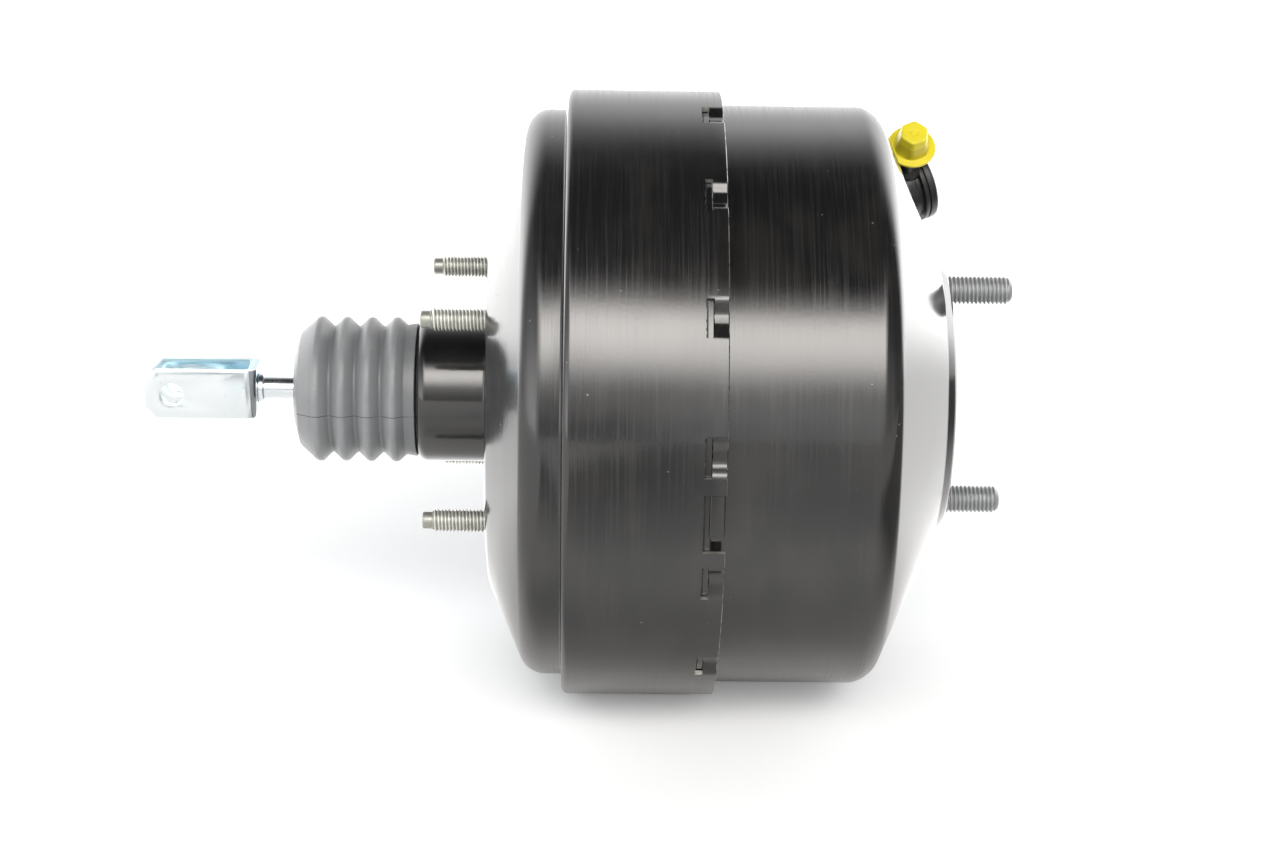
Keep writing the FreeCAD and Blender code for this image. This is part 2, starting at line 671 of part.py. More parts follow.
def bowed_arc(sketch, end_radius, half_width, middle):
    """Draw an arc whose ends lie at a radius and whose middle is pressed inwards."""
    end = root(end_radius * end_radius - half_width * half_width)
    circle = Part.Arc(FreeCAD.Vector(end.value, -half_width.value, 0),
                      FreeCAD.Vector(middle.value, 0, 0),
                      FreeCAD.Vector(end.value, half_width.value, 0))
    arc = sketch.addGeometry(circle, False)
    mark = sketch.addGeometry(Part.Point(FreeCAD.Vector(middle.value, 0, 0)), True)
    fix_point(sketch, mark, 1, middle, Size(0.0, "0"))
    sketch.addConstraint(Sketcher.Constraint("PointOnObject", mark, 1, arc))
    start = sketch.getPoint(arc, 1)
    low, high = (1, 2) if start.y < 0 else (2, 1)
    fix_point(sketch, arc, low, end, -half_width)
    fix_point(sketch, arc, high, end, half_width)
    return arc, low, high


def draw_tab_strip(sketch):
    """Draw the cross-section of a rim strip that is pressed inwards between its two ends."""
    half = size.tab_width / 2
    outer = bowed_arc(sketch, rim_radius, half, rim_radius - size.tab_dent)
    inner = bowed_arc(sketch, rim_inside, half, rim_inside - size.tab_dent)
    for end in (1, 2):
        start = sketch.getPoint(outer[0], outer[end])
        stop = sketch.getPoint(inner[0], inner[end])
        line = sketch.addGeometry(Part.LineSegment(start, stop), False)
        sketch.addConstraint(Sketcher.Constraint("Coincident", line, 1, outer[0], outer[end]))
        sketch.addConstraint(Sketcher.Constraint("Coincident", line, 2, inner[0], inner[end]))


def four_studs(sketch, spacing, radius):
    """Draw the square of four stud holes."""
    for side in (-1, 1):
        for level in (-1, 1):
            draw_circle(sketch, spacing * side / 2, spacing * level / 2, radius)


def two_studs(sketch, spacing, radius):
    """Draw the two stud holes of the master cylinder."""
    for level in (-1, 1):
        draw_circle(sketch, 0.0, spacing * level / 2, radius)


def make_rear_shell():
    """Rear casing: neck, flat face, cone, stepped drum and the rim with its lanced tabs."""
    wall = size.sheet_wall
    cone_rise = (size.rear_drum_radius - size.flat_radius) * tangent(size.rear_cone_angle)
    inner_flat = size.flat_radius - wall * tangent(size.rear_cone_angle / 2)
    body = new_body("rear_shell")
    revolve(body, [
        Corner(-size.neck_length, neck_mouth),
        Corner(-size.neck_length, neck_radius, size.neck_corner),
        Corner(0.0, neck_radius, size.neck_root),
        Corner(0.0, size.flat_radius, size.flat_corner),
        Corner(cone_rise, size.rear_drum_radius, size.rear_drum_corner),
        Corner(size.rim_step, size.rear_drum_radius, size.rim_step_root),
        Corner(size.rim_step, rim_radius, size.rim_step_corner),
        Corner(rim_end, rim_radius),
        Corner(rim_end, rim_inside),
        Corner(step_inside, rim_inside, size.rim_step_corner - wall),
        Corner(step_inside, size.rear_drum_radius - wall, size.rim_step_root + wall),
        Corner(rear_cone_inside, size.rear_drum_radius - wall, size.rear_drum_corner - wall),
        Corner(wall, inner_flat, size.flat_corner - wall),
        Corner(wall, neck_radius - wall, size.neck_root + wall),
        Corner(wall - size.neck_length, neck_radius - wall, size.neck_corner - wall),
        Corner(wall - size.neck_length, neck_mouth),
    ])
    stud_hole = size.rear_stud_shank + size.slip_gap
    extrude(body, "YZ_Plane", -wall, wall * 3,
            lambda sketch: four_studs(sketch, size.rear_stud_spacing, stud_hole), "stud_holes", True)
    strip_place = rim_end - size.tab_strip
    half = size.tab_width / 2
    window = extrude(body, "YZ_Plane", strip_place - size.tab_slot, size.tab_strip + size.tab_slot + wall,
                     lambda sketch: draw_box(sketch, rim_inside - wall, rim_radius + wall, -half, half),
                     "tab_window", True, size.tab_turn)
    strip = extrude(body, "YZ_Plane", strip_place, size.tab_strip, draw_tab_strip, "tab_strip",
                    False, size.tab_turn)
    polar_copies(body, [window, strip], size.tab_count, "tabs")
    notch_half = size.notch_width / 2
    extrude(body, "YZ_Plane", rim_end - size.notch_depth, size.notch_depth + wall,
            lambda sketch: draw_box(sketch, rim_inside - wall * 4, rim_radius + wall,
                                    -notch_half, notch_half),
            "rim_notch", True, size.notch_turn)
    return finish(body, "rear_shell")


def make_front_shell():
    """Front casing: locked flange, drum, cone and the raised boss for the master cylinder."""
    wall = size.sheet_wall
    face = size.front_face
    skew = wall / cosine(size.front_cone_angle)
    flange = front_flange_place
    cone_drum = front_cone_place(front_drum_radius)
    inner_drum = front_cone_place(front_drum_radius - wall) - skew
    boss_radius = boss_foot_radius - (face - boss_foot) / tangent(size.boss_angle)
    inner_boss = boss_radius - wall * tangent(size.boss_angle / 2)
    mean_angle = (size.boss_angle + size.front_cone_angle) / 2
    foot_skew = wall / cosine((size.boss_angle - size.front_cone_angle) / 2)
    body = new_body("front_shell")
    revolve(body, [
        Corner(flange, front_drum_radius - wall),
        Corner(flange, rim_inside - size.free_gap),
        Corner(flange + wall, rim_inside - size.free_gap),
        Corner(flange + wall, front_drum_radius, size.flange_root),
        Corner(cone_drum, front_drum_radius, size.front_drum_corner),
        Corner(boss_foot, boss_foot_radius, size.boss_foot_corner),
        Corner(face, boss_radius, size.boss_corner),
        Corner(face, 0.0),
        Corner(face - wall, 0.0),
        Corner(face - wall, inner_boss, size.boss_corner - wall),
        Corner(boss_foot - foot_skew * cosine(mean_angle),
               boss_foot_radius - foot_skew * sine(mean_angle), size.boss_foot_corner + wall),
        Corner(inner_drum, front_drum_radius - wall, size.front_drum_corner - wall),
    ])
    stud_hole = size.front_stud_shank + size.slip_gap
    extrude(body, "YZ_Plane", face - wall * 2, wall * 3,
            lambda sketch: two_studs(sketch, size.front_stud_spacing, stud_hole), "stud_holes", True)
    extrude(body, "YZ_Plane", face - wall * 2, wall * 3,
            lambda sketch: draw_circle(sketch, 0.0, 0.0, size.front_bore), "nose_bore", True)
    hole = body.newObject("PartDesign::SubtractiveCylinder", "grommet_hole")
    hole.MapMode = "Deactivated"
    bind(hole, "Radius", size.grommet_hole)
    bind(hole, "Height", wall * 8)
    spot = valve_frame(-4 * wall.value)
    upright = FreeCAD.Rotation(FreeCAD.Vector(0, 1, 0), 90)
    hole.Placement = FreeCAD.Placement(spot.Base, spot.Rotation.multiply(upright))
    return finish(body, "front_shell")


def make_stud(label, corners, spots):
    """Make a group of equal studs from one turned stud."""
    body = new_body(label + "_pattern")
    revolve(body, corners)
    document.recompute()
    copies = []
    for y, z in spots:
        stud = body.Shape.copy()
        stud.translate(FreeCAD.Vector(0, y, z))
        copies.append(stud)
    group = document.addObject("Part::Feature", label + "_group")
    group.Shape = Part.makeCompound(copies)
    return finish(group, label)


def make_rear_studs():
    """Four M8 studs with dog points, their heads behind the rear stud plate."""
    plate = size.sheet_wall + size.backing_wall
    dog = -(size.rear_stud_reach - size.dog_length)
    half = size.rear_stud_spacing.value / 2
    spots = [(half * side, half * level) for side in (-1, 1) for level in (-1, 1)]
    make_stud("firewall_studs", [
        Corner(-size.rear_stud_reach, 0.0),
        Corner(-size.rear_stud_reach, size.dog_radius, 0.5),
        Corner(dog, size.dog_radius),
        Corner(dog, size.rear_stud_radius, 0.6),
        Corner(0.0, size.rear_stud_radius),
        Corner(0.0, size.rear_stud_shank),
        Corner(plate, size.rear_stud_shank),
        Corner(plate, size.rear_head_radius),
        Corner(plate + size.rear_head_height, size.rear_head_radius, 0.8),
        Corner(plate + size.rear_head_height, 0.0),
    ], spots)


def make_front_studs():
    """Two M10 studs for the master cylinder, their heads behind the front stud plate."""
    end = size.front_face + size.front_stud_reach
    half = size.front_stud_spacing.value / 2
    make_stud("master_cylinder_studs", [
        Corner(front_plate_back - size.front_head_height, 0.0),
        Corner(front_plate_back - size.front_head_height, size.front_head_radius, 0.6),
        Corner(front_plate_back, size.front_head_radius),
        Corner(front_plate_back, size.front_stud_shank),
        Corner(size.front_face, size.front_stud_shank),
        Corner(size.front_face, size.front_stud_radius),
        Corner(end, size.front_stud_radius, size.front_stud_round),
        Corner(end, 0.0),
    ], [(0.0, -half), (0.0, half)])


def make_stud_plates():
    """Steel plates that spread the load of the studs inside both casings."""
    wall = size.backing_wall
    rear = new_body("stud_backing_plate")
    extrude(rear, "YZ_Plane", size.sheet_wall, wall,
            lambda sketch: draw_rounded_box(sketch, backing_half, backing_half,
                                            size.backing_corner), "plate")
    extrude(rear, "YZ_Plane", size.sheet_wall - wall, wall * 3,
            lambda sketch: draw_circle(sketch, 0.0, 0.0, backing_bore), "bore", True)
    rear_hole = size.rear_stud_shank + size.slip_gap
    extrude(rear, "YZ_Plane", size.sheet_wall - wall, wall * 3,
            lambda sketch: four_studs(sketch, size.rear_stud_spacing, rear_hole), "holes", True)
    finish(rear, "stud_backing_plate")
    front = new_body("front_stud_plate")
    extrude(front, "YZ_Plane", front_plate_back, wall,
            lambda sketch: draw_rounded_box(sketch, front_plate_half, front_plate_reach,
                                            size.front_plate_corner), "plate")
    extrude(front, "YZ_Plane", front_plate_back - wall, wall * 3,
            lambda sketch: draw_circle(sketch, 0.0, 0.0, size.front_bore), "bore", True)
    front_hole = size.front_stud_shank + size.slip_gap
    extrude(front, "YZ_Plane", front_plate_back - wall, wall * 3,
            lambda sketch: two_studs(sketch, size.front_stud_spacing, front_hole), "holes", True)
    finish(front, "front_stud_plate")


def make_neck_pieces():
    """Bearing ring and lip seal that guide the valve body in the neck."""
    inside = size.tube_radius + size.guide_gap
    outside = neck_radius - size.sheet_wall - size.slip_gap
    start = -neck_bearing_place
    ring("neck_bearing", start, size.neck_bearing_length, inside, outside)
    seal = start + size.neck_bearing_length
    lip = size.neck_seal_length / 2
    revolved_part("neck_seal", [
        Corner(seal, inside + 1.6),
        Corner(seal, outside),
        Corner(seal + size.neck_seal_length, outside),
        Corner(seal + size.neck_seal_length, outside - 1.6),
        Corner(seal + 1.8, outside - 1.6, 0.5),
        Corner(seal + 1.8, inside + 1.6),
        Corner(seal + lip + 1.8, inside + 1.0),
        Corner(seal + lip + 1.8, inside),
        Corner(seal + lip, inside),
    ])


def make_centre_plate():
    """Fixed plate between the two chambers and the seal that the valve body slides in."""
    wall = size.plate_wall
    place = centre_plate_place
    skirt = rim_inside - size.free_gap
    start = centre_flange_place
    cup = centre_cup_radius
    revolved_part("centre_plate", [
        Corner(place, centre_bore),
        Corner(place, cup - wall, 1.0),
        Corner(start, cup - wall),
        Corner(start, skirt, 1.0 + wall),
        Corner(front_bead_place, skirt),
        Corner(front_bead_place, skirt - wall),
        Corner(start + wall, skirt - wall, 1.0),
        Corner(start + wall, cup),
        Corner(place + wall, cup, 1.0 + wall),
        Corner(place + wall, centre_bore),
    ])
    inside = size.tube_radius + size.guide_gap
    waist = centre_bore - size.slip_gap
    rear = place - size.seal_flange
    revolved_part("centre_plate_seal", [
        Corner(rear, inside),
        Corner(rear, seal_rim),
        Corner(place, seal_rim),
        Corner(place, waist),
        Corner(place + wall, waist),
        Corner(place + wall, seal_rim),
        Corner(place + wall + size.seal_flange, seal_rim),
        Corner(place + wall + size.seal_flange, waist),
        Corner(rear + size.seal_length, waist),
        Corner(rear + size.seal_length, inside),
    ])


def make_support_plate(label, place, bore, radius):
    """Make a dished plate that carries a diaphragm."""
    wall = size.plate_wall
    front = place + wall
    revolved_part(label, [
        Corner(place, bore),
        Corner(place, radius, 1.2 + wall),
        Corner(front + size.plate_lip, radius),
        Corner(front + size.plate_lip, radius - wall),
        Corner(front, radius - wall, 1.2),
        Corner(front, bore),
    ])


def make_diaphragms():
    """Rubber diaphragms that lie on the pedal side of the support plates."""
    wall = size.rubber_wall
    gap = size.slip_gap
    place = rear_plate_place
    sleeve = rear_plate_radius + gap
    web = place + size.plate_wall + size.plate_lip - wall
    roll = roll_radius
    bead = step_inside + gap
    skirt = rim_inside - size.free_gap
    revolved_part("rear_diaphragm", [
        Corner(place - size.hub_bead_length, tube_bore),
        Corner(place - size.hub_bead_length, hub_bead_radius, 1.0),
        Corner(place - wall, hub_bead_radius),
        Corner(place - wall, sleeve + wall, 1.0 + wall),
        Corner(web, sleeve + wall),
        Corner(web, roll, 1.0 + wall),
        Corner(bead, roll),
        Corner(bead, skirt, 1.2),
        Corner(centre_flange_place, skirt),
        Corner(centre_flange_place, roll - wall),
        Corner(web + wall, roll - wall, 1.0),
        Corner(web + wall, sleeve),
        Corner(place, sleeve),
        Corner(place, tube_bore),
    ])
    place = front_plate_place
    sleeve = front_plate_radius + gap
    web = place + size.plate_wall + size.plate_lip - wall
    inner = front_drum_radius - size.sheet_wall
    revolved_part("front_diaphragm", [
        Corner(place - size.hub_bead_length, tube_bore),
        Corner(place - size.hub_bead_length, hub_bead_radius, 1.0),
        Corner(place - wall, hub_bead_radius),
        Corner(place - wall, sleeve + wall, 1.0 + wall),
        Corner(web, sleeve + wall),
        Corner(web, inner),
        Corner(front_bead_place, inner),
        Corner(front_bead_place, skirt),
        Corner(front_flange_place, skirt),
        Corner(front_flange_place, inner),
        Corner(web + wall, inner),
        Corner(web + wall, sleeve),
        Corner(place, sleeve),
        Corner(place, tube_bore),
    ])


def make_valve_body():
    """Moulded valve body: long tube, plate seats, valve chamber, plunger guide and disc pocket."""
    flange = rear_plate_place + size.plate_wall
    guide = size.plunger_radius + size.guide_gap
    nose = size.plunger_nose + size.free_gap
    guide_end = size.plunger_front + size.valve_travel + size.free_gap
    rim_floor = plunger_rear + size.plunger_lip + size.valve_travel + size.free_gap
    floor = -size.chamber_floor
    seat = floor - size.seat_rise
    body = new_body("valve_body")
    revolve(body, [
        Corner(-size.tube_end, chamber_radius),
        Corner(-size.tube_end, size.tube_radius, 0.8),
        Corner(flange, size.tube_radius),
        Corner(flange, flange_radius),
        Corner(flange + size.flange_length, flange_radius, 0.8),
        Corner(flange + size.flange_length, size.tube_radius),
        Corner(front_plate_place, size.tube_radius),
        Corner(front_plate_place, nose_radius),
        Corner(valve_body_end, nose_radius, 0.6),
        Corner(valve_body_end, pocket_radius),
        Corner(disc_place, pocket_radius),
        Corner(disc_place, nose),
        Corner(guide_end, nose),
        Corner(guide_end, guide),
        Corner(rim_floor, guide),
        Corner(rim_floor, plunger_flange + size.free_gap),
        Corner(floor, plunger_flange + size.free_gap),
        Corner(floor, seat_radius - size.seat_width),
        Corner(seat, seat_radius - size.seat_width),
        Corner(seat, seat_radius),
        Corner(floor, seat_radius),
        Corner(floor, chamber_radius),
    ])
    port = (pocket_radius + nose_radius) / 2
    passage = extrude(body, "YZ_Plane", floor - 1.0, valve_body_end + size.chamber_floor + 2.0,
                      lambda sketch: draw_circle(sketch, port, 0.0, size.port_radius), "port", True)
    polar_copies(body, [passage], size.port_count, "ports")
    gap = size.slip_gap
    half = size.key_half_width + gap
    extrude(body, "YZ_Plane", size.key_place - gap, size.key_wall + gap * 2,
            lambda sketch: draw_box(sketch, -half, half, -(size.key_tail + gap), size.tube_radius + 1.0),
            "key_slot", True)
    finish(body, "valve_body")


def make_plunger():
    """Air valve plunger with its rim, key groove, nose and ball socket."""
    groove_start = size.key_place - size.valve_travel - size.free_gap
    groove_end = key_front + size.free_gap
    nose_end = disc_place - size.valve_travel - size.free_gap
    rim = plunger_rear + size.plunger_lip
    socket = size.ball_radius + size.ball_gap
    throat = -(size.ball_place + size.ball_catch)
    body = new_body("plunger")
    revolve(body, [
        Corner(throat, 0.0),
        Corner(throat, size.rod_neck_radius + size.throat_gap),
        Corner(plunger_rear, size.rod_radius + size.throat_flare),
        Corner(plunger_rear, plunger_flange),
        Corner(rim, plunger_flange),
        Corner(rim, size.plunger_radius),
        Corner(groove_start, size.plunger_radius),
        Corner(groove_start, size.groove_radius),
        Corner(groove_end, size.groove_radius),
        Corner(groove_end, size.plunger_radius),
        Corner(size.plunger_front, size.plunger_radius),
        Corner(size.plunger_front, size.plunger_nose),
        Corner(nose_end, size.plunger_nose, 0.6),
        Corner(nose_end, 0.0),
    ])
    ball_socket = body.newObject("PartDesign::SubtractiveSphere", "ball_socket")
    ball_socket.MapMode = "Deactivated"
    bind(ball_socket, "Radius", socket)
    bind(ball_socket, "Placement.Base.x", -size.ball_place)
    finish(body, "plunger")


def make_stop_key():
    """Forked key that holds the plunger in the valve body."""
    core = size.groove_radius + size.free_gap
    half = size.key_half_width
    body = new_body("stop_key")
    extrude(body, "YZ_Plane", size.key_place, size.key_wall,
            lambda sketch: draw_outline(sketch, [
                Corner(-half, -size.key_tail),
                Corner(-core, -size.key_tail),
                Corner(-core, core, core - 0.4),
                Corner(core, core, core - 0.4),
                Corner(core, -size.key_tail),
                Corner(half, -size.key_tail),
                Corner(half, size.key_top, 1.5),
                Corner(-half, size.key_top, 1.5),
            ]), "fork")
    finish(body, "stop_key")


def make_poppet_pieces():
    """Poppet valve, its retainer, the two small springs and the rod's spring seat."""
    outside = chamber_radius - size.slip_gap
    bead = poppet_rear + size.poppet_retainer_length
    face = -size.poppet_face
    sleeve = poppet_sleeve - size.poppet_sleeve_wall
    revolved_part("poppet_valve", [
        Corner(face, size.poppet_bore),
        Corner(face, poppet_sleeve, 0.6),
        Corner(bead, poppet_sleeve),
        Corner(bead, outside),
        Corner(poppet_rear, outside),
        Corner(poppet_rear, sleeve),
        Corner(face - size.poppet_wall, sleeve),
        Corner(face - size.poppet_wall, size.poppet_bore),
    ])
    ring("poppet_retainer", retainer_rear, size.poppet_retainer_length, size.retainer_bore, outside)
    ease = size.free_gap / 2
    wire = size.poppet_spring_wire
    room = size.poppet_length - size.poppet_wall - (wire + ease) * 2
    coil("poppet_spring", poppet_rear + wire + ease, room, poppet_spring_radius, wire, 4.0)
    wire = size.rod_spring_wire
    room = size.rod_spring_length - (wire + ease) * 2
    coil("input_return_spring", rod_seat_front + wire + ease, room, rod_spring_radius, wire, 4.0)
    ring("rod_spring_seat", rod_seat_front - size.rod_seat_length, size.rod_seat_length,
         size.rod_radius + size.slip_gap, rod_seat_radius)


def make_air_filter():
    """Felt silencer and foam filter at the open end of the valve body."""
    inside = size.rod_radius + size.rod_play
    outside = chamber_radius - size.slip_gap
    start = -size.tube_end + size.free_gap
    ring("silencer", start, size.silencer_length, inside, outside)
    ring("air_filter", start + size.silencer_length, filter_length, inside, outside)


def make_input_rod():
    """Input rod with its ball, the collar against the fork and the staked end."""
    neck_end = -(size.ball_place + size.ball_radius + size.rod_neck_shown)
    collar = -(fork_place - size.rod_collar_length)
    inside = -(fork_place + size.fork_wall)
    hole = size.rod_radius - size.rod_stake_step
    body = new_body("input_rod")
    revolve(body, [
        Corner(-size.ball_place, 0.0),
        Corner(-size.ball_place, size.rod_neck_radius),
        Corner(neck_end, size.rod_neck_radius),
        Corner(neck_end - size.rod_neck_taper, size.rod_radius),
        Corner(collar, size.rod_radius),
        Corner(collar, size.rod_collar_radius, 0.7),
        Corner(-fork_place, size.rod_collar_radius, 0.4),
        Corner(-fork_place, hole),
        Corner(inside, hole),
        Corner(inside, size.rivet_radius),
        Corner(inside - size.rivet_height, size.rivet_radius - 0.6, 0.8),
        Corner(inside - size.rivet_height, 0.0),
    ])
    ball = body.newObject("PartDesign::AdditiveSphere", "ball")
    ball.MapMode = "Deactivated"
    bind(ball, "Radius", size.ball_radius)
    bind(ball, "Placement.Base.x", -size.ball_place)
    finish(body, "input_rod")


def make_clevis():
    """Fork bent from one plate, with cut corners, the pin hole and the rod's hole."""
    half = size.fork_width / 2
    floor = -(fork_place + size.fork_wall)
    bend = size.fork_bend - size.fork_wall
    body = new_body("clevis")
    plate = extrude(body, "XY_Plane", -size.fork_height / 2, size.fork_height,
                    lambda sketch: draw_outline(sketch, [
                        Corner(-fork_place, -half, size.fork_bend),
                        Corner(-fork_place, half, size.fork_bend),
                        Corner(fork_end, half),
                        Corner(fork_end, fork_inner),
                        Corner(floor, fork_inner, bend),
                        Corner(floor, -fork_inner, bend),
                        Corner(fork_end, -fork_inner),
                        Corner(fork_end, -half),
                    ]), "bent_plate")
    document.recompute()
    edges = []
    for index, edge in enumerate(plate.Shape.Edges, start=1):
        box = edge.BoundBox
        at_end = abs(box.XMax - fork_end.value) < 0.01
        across_ear = box.YLength > size.fork_wall.value / 2 and box.ZLength < 0.01
        if at_end and across_ear:
            edges.append("Edge{}".format(index))
    cut = body.newObject("PartDesign::Chamfer", "cut_corners")
    cut.Base = (plate, edges)
    bind(cut, "Size", size.fork_cut)
    pin_place = -(fork_place + size.pin_place)
    extrude(body, "XZ_Plane", -size.fork_width, size.fork_width * 2,
            lambda sketch: draw_circle(sketch, pin_place, 0.0, size.pin_radius), "pin_hole", True)
    rod_hole = size.rod_radius - size.rod_stake_step + size.slip_gap
    extrude(body, "YZ_Plane", floor - 1.0, size.fork_wall + 2.0,
            lambda sketch: draw_circle(sketch, 0.0, 0.0, rod_hole), "rod_hole", True)
    finish(body, "clevis")


def make_output_pieces():
    """Reaction disc, output rod, its retainer and the adjuster in front."""
    revolved_part("reaction_disc", [
        Corner(disc_place, 0.0),
        Corner(disc_place, disc_radius, 0.6),
        Corner(disc_front, disc_radius, 0.6),
        Corner(disc_front, 0.0),
    ])
    thread_end = output_end - size.adjuster_cap
    revolved_part("output_rod", [
        Corner(disc_front, 0.0),
        Corner(disc_front, disc_radius),
        Corner(head_front, disc_radius),
        Corner(head_front, size.output_radius, size.rod_head_round),
        Corner(output_shoulder, size.output_radius),
        Corner(output_shoulder, size.output_thread),
        Corner(thread_end, size.output_thread, 0.5),
        Corner(thread_end, 0.0),
    ])
    ring("output_rod_retainer", head_front + size.rod_head_round, size.retainer_length,
         size.output_radius + size.free_gap, disc_radius + size.slip_gap)
    bore = size.output_thread + size.slip_gap
    revolved_part("output_rod_tip", [
        Corner(output_shoulder, bore),
        Corner(output_shoulder, size.adjuster_radius, 0.5),
        Corner(output_end - 1.5, size.adjuster_radius, 1.0),
        Corner(output_end, 3.0, 0.8),
        Corner(output_end, 0.0),
        Corner(thread_end + size.slip_gap, 0.0),
        Corner(thread_end + size.slip_gap, bore),
    ])


def make_return_spring():
    """Return spring between the front support plate and its seat on the front casing."""
    seat = front_plate_back - size.spring_seat_wall
    ring("front_spring_seat", seat, size.spring_seat_wall, size.front_bore + size.spring_seat_gap,
         spring_seat_radius)
    plate = front_plate_place + size.plate_wall
    ring("plate_lock_ring", plate, size.lock_ring_length, nose_radius + size.slip_gap,
         lock_ring_radius)
    ease = size.free_gap / 2 + size.spring_wire
    coil("return_spring", plate + ease, seat - plate - ease * 2, spring_radius, size.spring_wire,
         size.spring_turns)


def make_dust_boot():
    """Rubber bellows from the neck to the pedal end of the valve body."""
    wall = size.boot_wall
    neck = -size.neck_length
    groove = neck + size.sheet_wall
    crest = boot_crest_radius
    valley = boot_valley_radius
    half = boot_pitch / 2
    count = int(size.boot_crests.value)
    first = -boot_first_crest
    mouth = -boot_mouth
    hole = size.rod_radius + size.rod_play
    outer = [
        Corner(mouth, hole),
        Corner(mouth, boot_end_radius, 1.0),
        Corner(mouth + size.boot_shoulder_place, crest - size.boot_shoulder_drop, 2.0),
    ]
    inner = []
    for index in range(count):
        place = first + boot_pitch * index
        outer.append(Corner(place, crest, 1.6))
        inner.append(Corner(place, crest - wall, 0.8))
        if index < count - 1:
            outer.append(Corner(place + half, valley, 0.8))
            inner.append(Corner(place + half, valley - wall, 1.6))
    collar = neck - size.boot_collar_length
    outer += [
        Corner(collar, boot_collar_radius - 0.6, 0.5),
        Corner(neck, boot_collar_radius),
        Corner(neck, boot_groove),
        Corner(groove, boot_groove),
        Corner(groove, boot_lip_radius),
        Corner(groove + size.boot_lip_length, boot_lip_radius, 0.5),
        Corner(groove + size.boot_lip_length, boot_lip_bore),
        Corner(collar, boot_lip_bore),
    ]
    inner.insert(0, Corner(mouth + size.boot_end_wall, size.tube_radius + 1.6, 1.0))
    inner.insert(0, Corner(mouth + size.boot_end_wall, hole))
    revolved_part("dust_boot", outer + list(reversed(inner)))


def make_check_valve():
    """Vacuum check valve in its grommet, with the disc, the spring and the nozzle's cap."""
    place = valve_frame()
    wall = size.sheet_wall
    inside = -(wall + 0.5)
    grommet = revolved_part("valve_grommet", [
        Corner(inside - size.grommet_barb_wall, size.grommet_bore),
        Corner(inside - size.grommet_barb_wall, size.grommet_hole),
        Corner(inside, size.grommet_barb),
        Corner(inside, size.grommet_hole - size.slip_gap),
        Corner(0.0, size.grommet_hole - size.slip_gap),
        Corner(0.0, size.grommet_rim),
        Corner(size.grommet_rim_wall, size.grommet_rim, 0.8),
        Corner(size.grommet_rim_wall, size.grommet_bore),
    ])
    grommet.Placement = place
    floor = valve_floor
    ring_outside = size.cover_bore - size.slip_gap
    base = revolved_part("check_valve_base", [
        Corner(-size.stem_end, size.stem_bore),
        Corner(-size.stem_end, size.stem_radius, 0.8),
        Corner(size.valve_foot, size.stem_radius),
        Corner(size.valve_foot, size.valve_barrel, 0.5),
        Corner(floor, size.valve_barrel),
        Corner(floor, ring_outside),
        Corner(floor + size.spigot_height, ring_outside),
        Corner(floor + size.spigot_height, ring_outside - 2.0),
        Corner(floor, ring_outside - 2.0),
        Corner(floor, size.stem_bore),
    ])
    base.Placement = place
    slit = cover_top - size.cover_band
    band = slit - size.cover_slit
    groove = band - size.cover_ring
    barrel = groove - size.cover_groove
    cover = new_body("check_valve_cover")
    revolve(cover, [
        Corner(floor, size.cover_bore),
        Corner(floor, size.valve_barrel),
        Corner(barrel, size.valve_barrel, 0.5),
        Corner(barrel, size.cover_groove_radius),
        Corner(groove, size.cover_groove_radius),
        Corner(groove, size.valve_radius, 0.5),
        Corner(band, size.valve_radius, 0.3),
        Corner(band, size.cover_slit_radius),
        Corner(slit, size.cover_slit_radius),
        Corner(slit, size.valve_radius, 0.3),
        Corner(cover_top, size.valve_radius, 1.2),
        Corner(cover_top, 0.0),
        Corner(cover_ceiling, 0.0),
        Corner(cover_ceiling, size.cover_bore),
    ])
    root_place = size.cover_bore + 0.8
    extrude(cover, "XZ_Plane", -size.nozzle_reach, size.nozzle_reach - root_place,
            lambda sketch: draw_circle(sketch, size.nozzle_height, 0.0, size.nozzle_radius), "nozzle")
    extrude(cover, "XZ_Plane", -size.nozzle_reach, 2.0,
            lambda sketch: draw_circle(sketch, size.nozzle_height, 0.0, size.nozzle_barb), "barb")
    extrude(cover, "XZ_Plane", -(size.nozzle_reach + 1.0), size.nozzle_reach - size.cover_bore + 2.0,
            lambda sketch: draw_circle(sketch, size.nozzle_height, 0.0, size.nozzle_bore), "bore", True)
    finish(cover, "check_valve_cover", place)
    disc = floor + size.free_gap
    moving = revolved_part("check_disc", [
        Corner(disc, 0.0),
        Corner(disc, size.check_radius, 0.3),
        Corner(disc + size.check_wall, size.check_radius, 0.3),
        Corner(disc + size.check_wall, 0.0),
    ])
    moving.Placement = place
    ease = size.check_spring_wire + size.free_gap / 2
    spring_start = disc + size.check_wall + ease
    coil("check_spring", spring_start, cover_ceiling - spring_start - ease, size.check_spring_radius,
         size.check_spring_wire, 5.0, place)
    end = cap_place + size.cap_length
    flange = cap_place + size.cap_flange_wall
    cap = revolved_part("transport_cap", [
        Corner(cap_place, size.cap_root - size.cap_wall),
        Corner(cap_place, size.cap_flange_radius, 0.4),
        Corner(flange, size.cap_flange_radius, 0.4),
        Corner(flange, size.cap_root),
        Corner(end, size.cap_tip, 0.8),
        Corner(end, 0.0),
        Corner(end - size.cap_wall, 0.0),
        Corner(end - size.cap_wall, size.cap_tip - size.cap_wall),
    ])
    turned = FreeCAD.Rotation(FreeCAD.Vector(0, 0, 1), 90)
    spot = valve_frame(size.nozzle_height.value)
    cap.Placement = FreeCAD.Placement(spot.Base, spot.Rotation.multiply(turned))


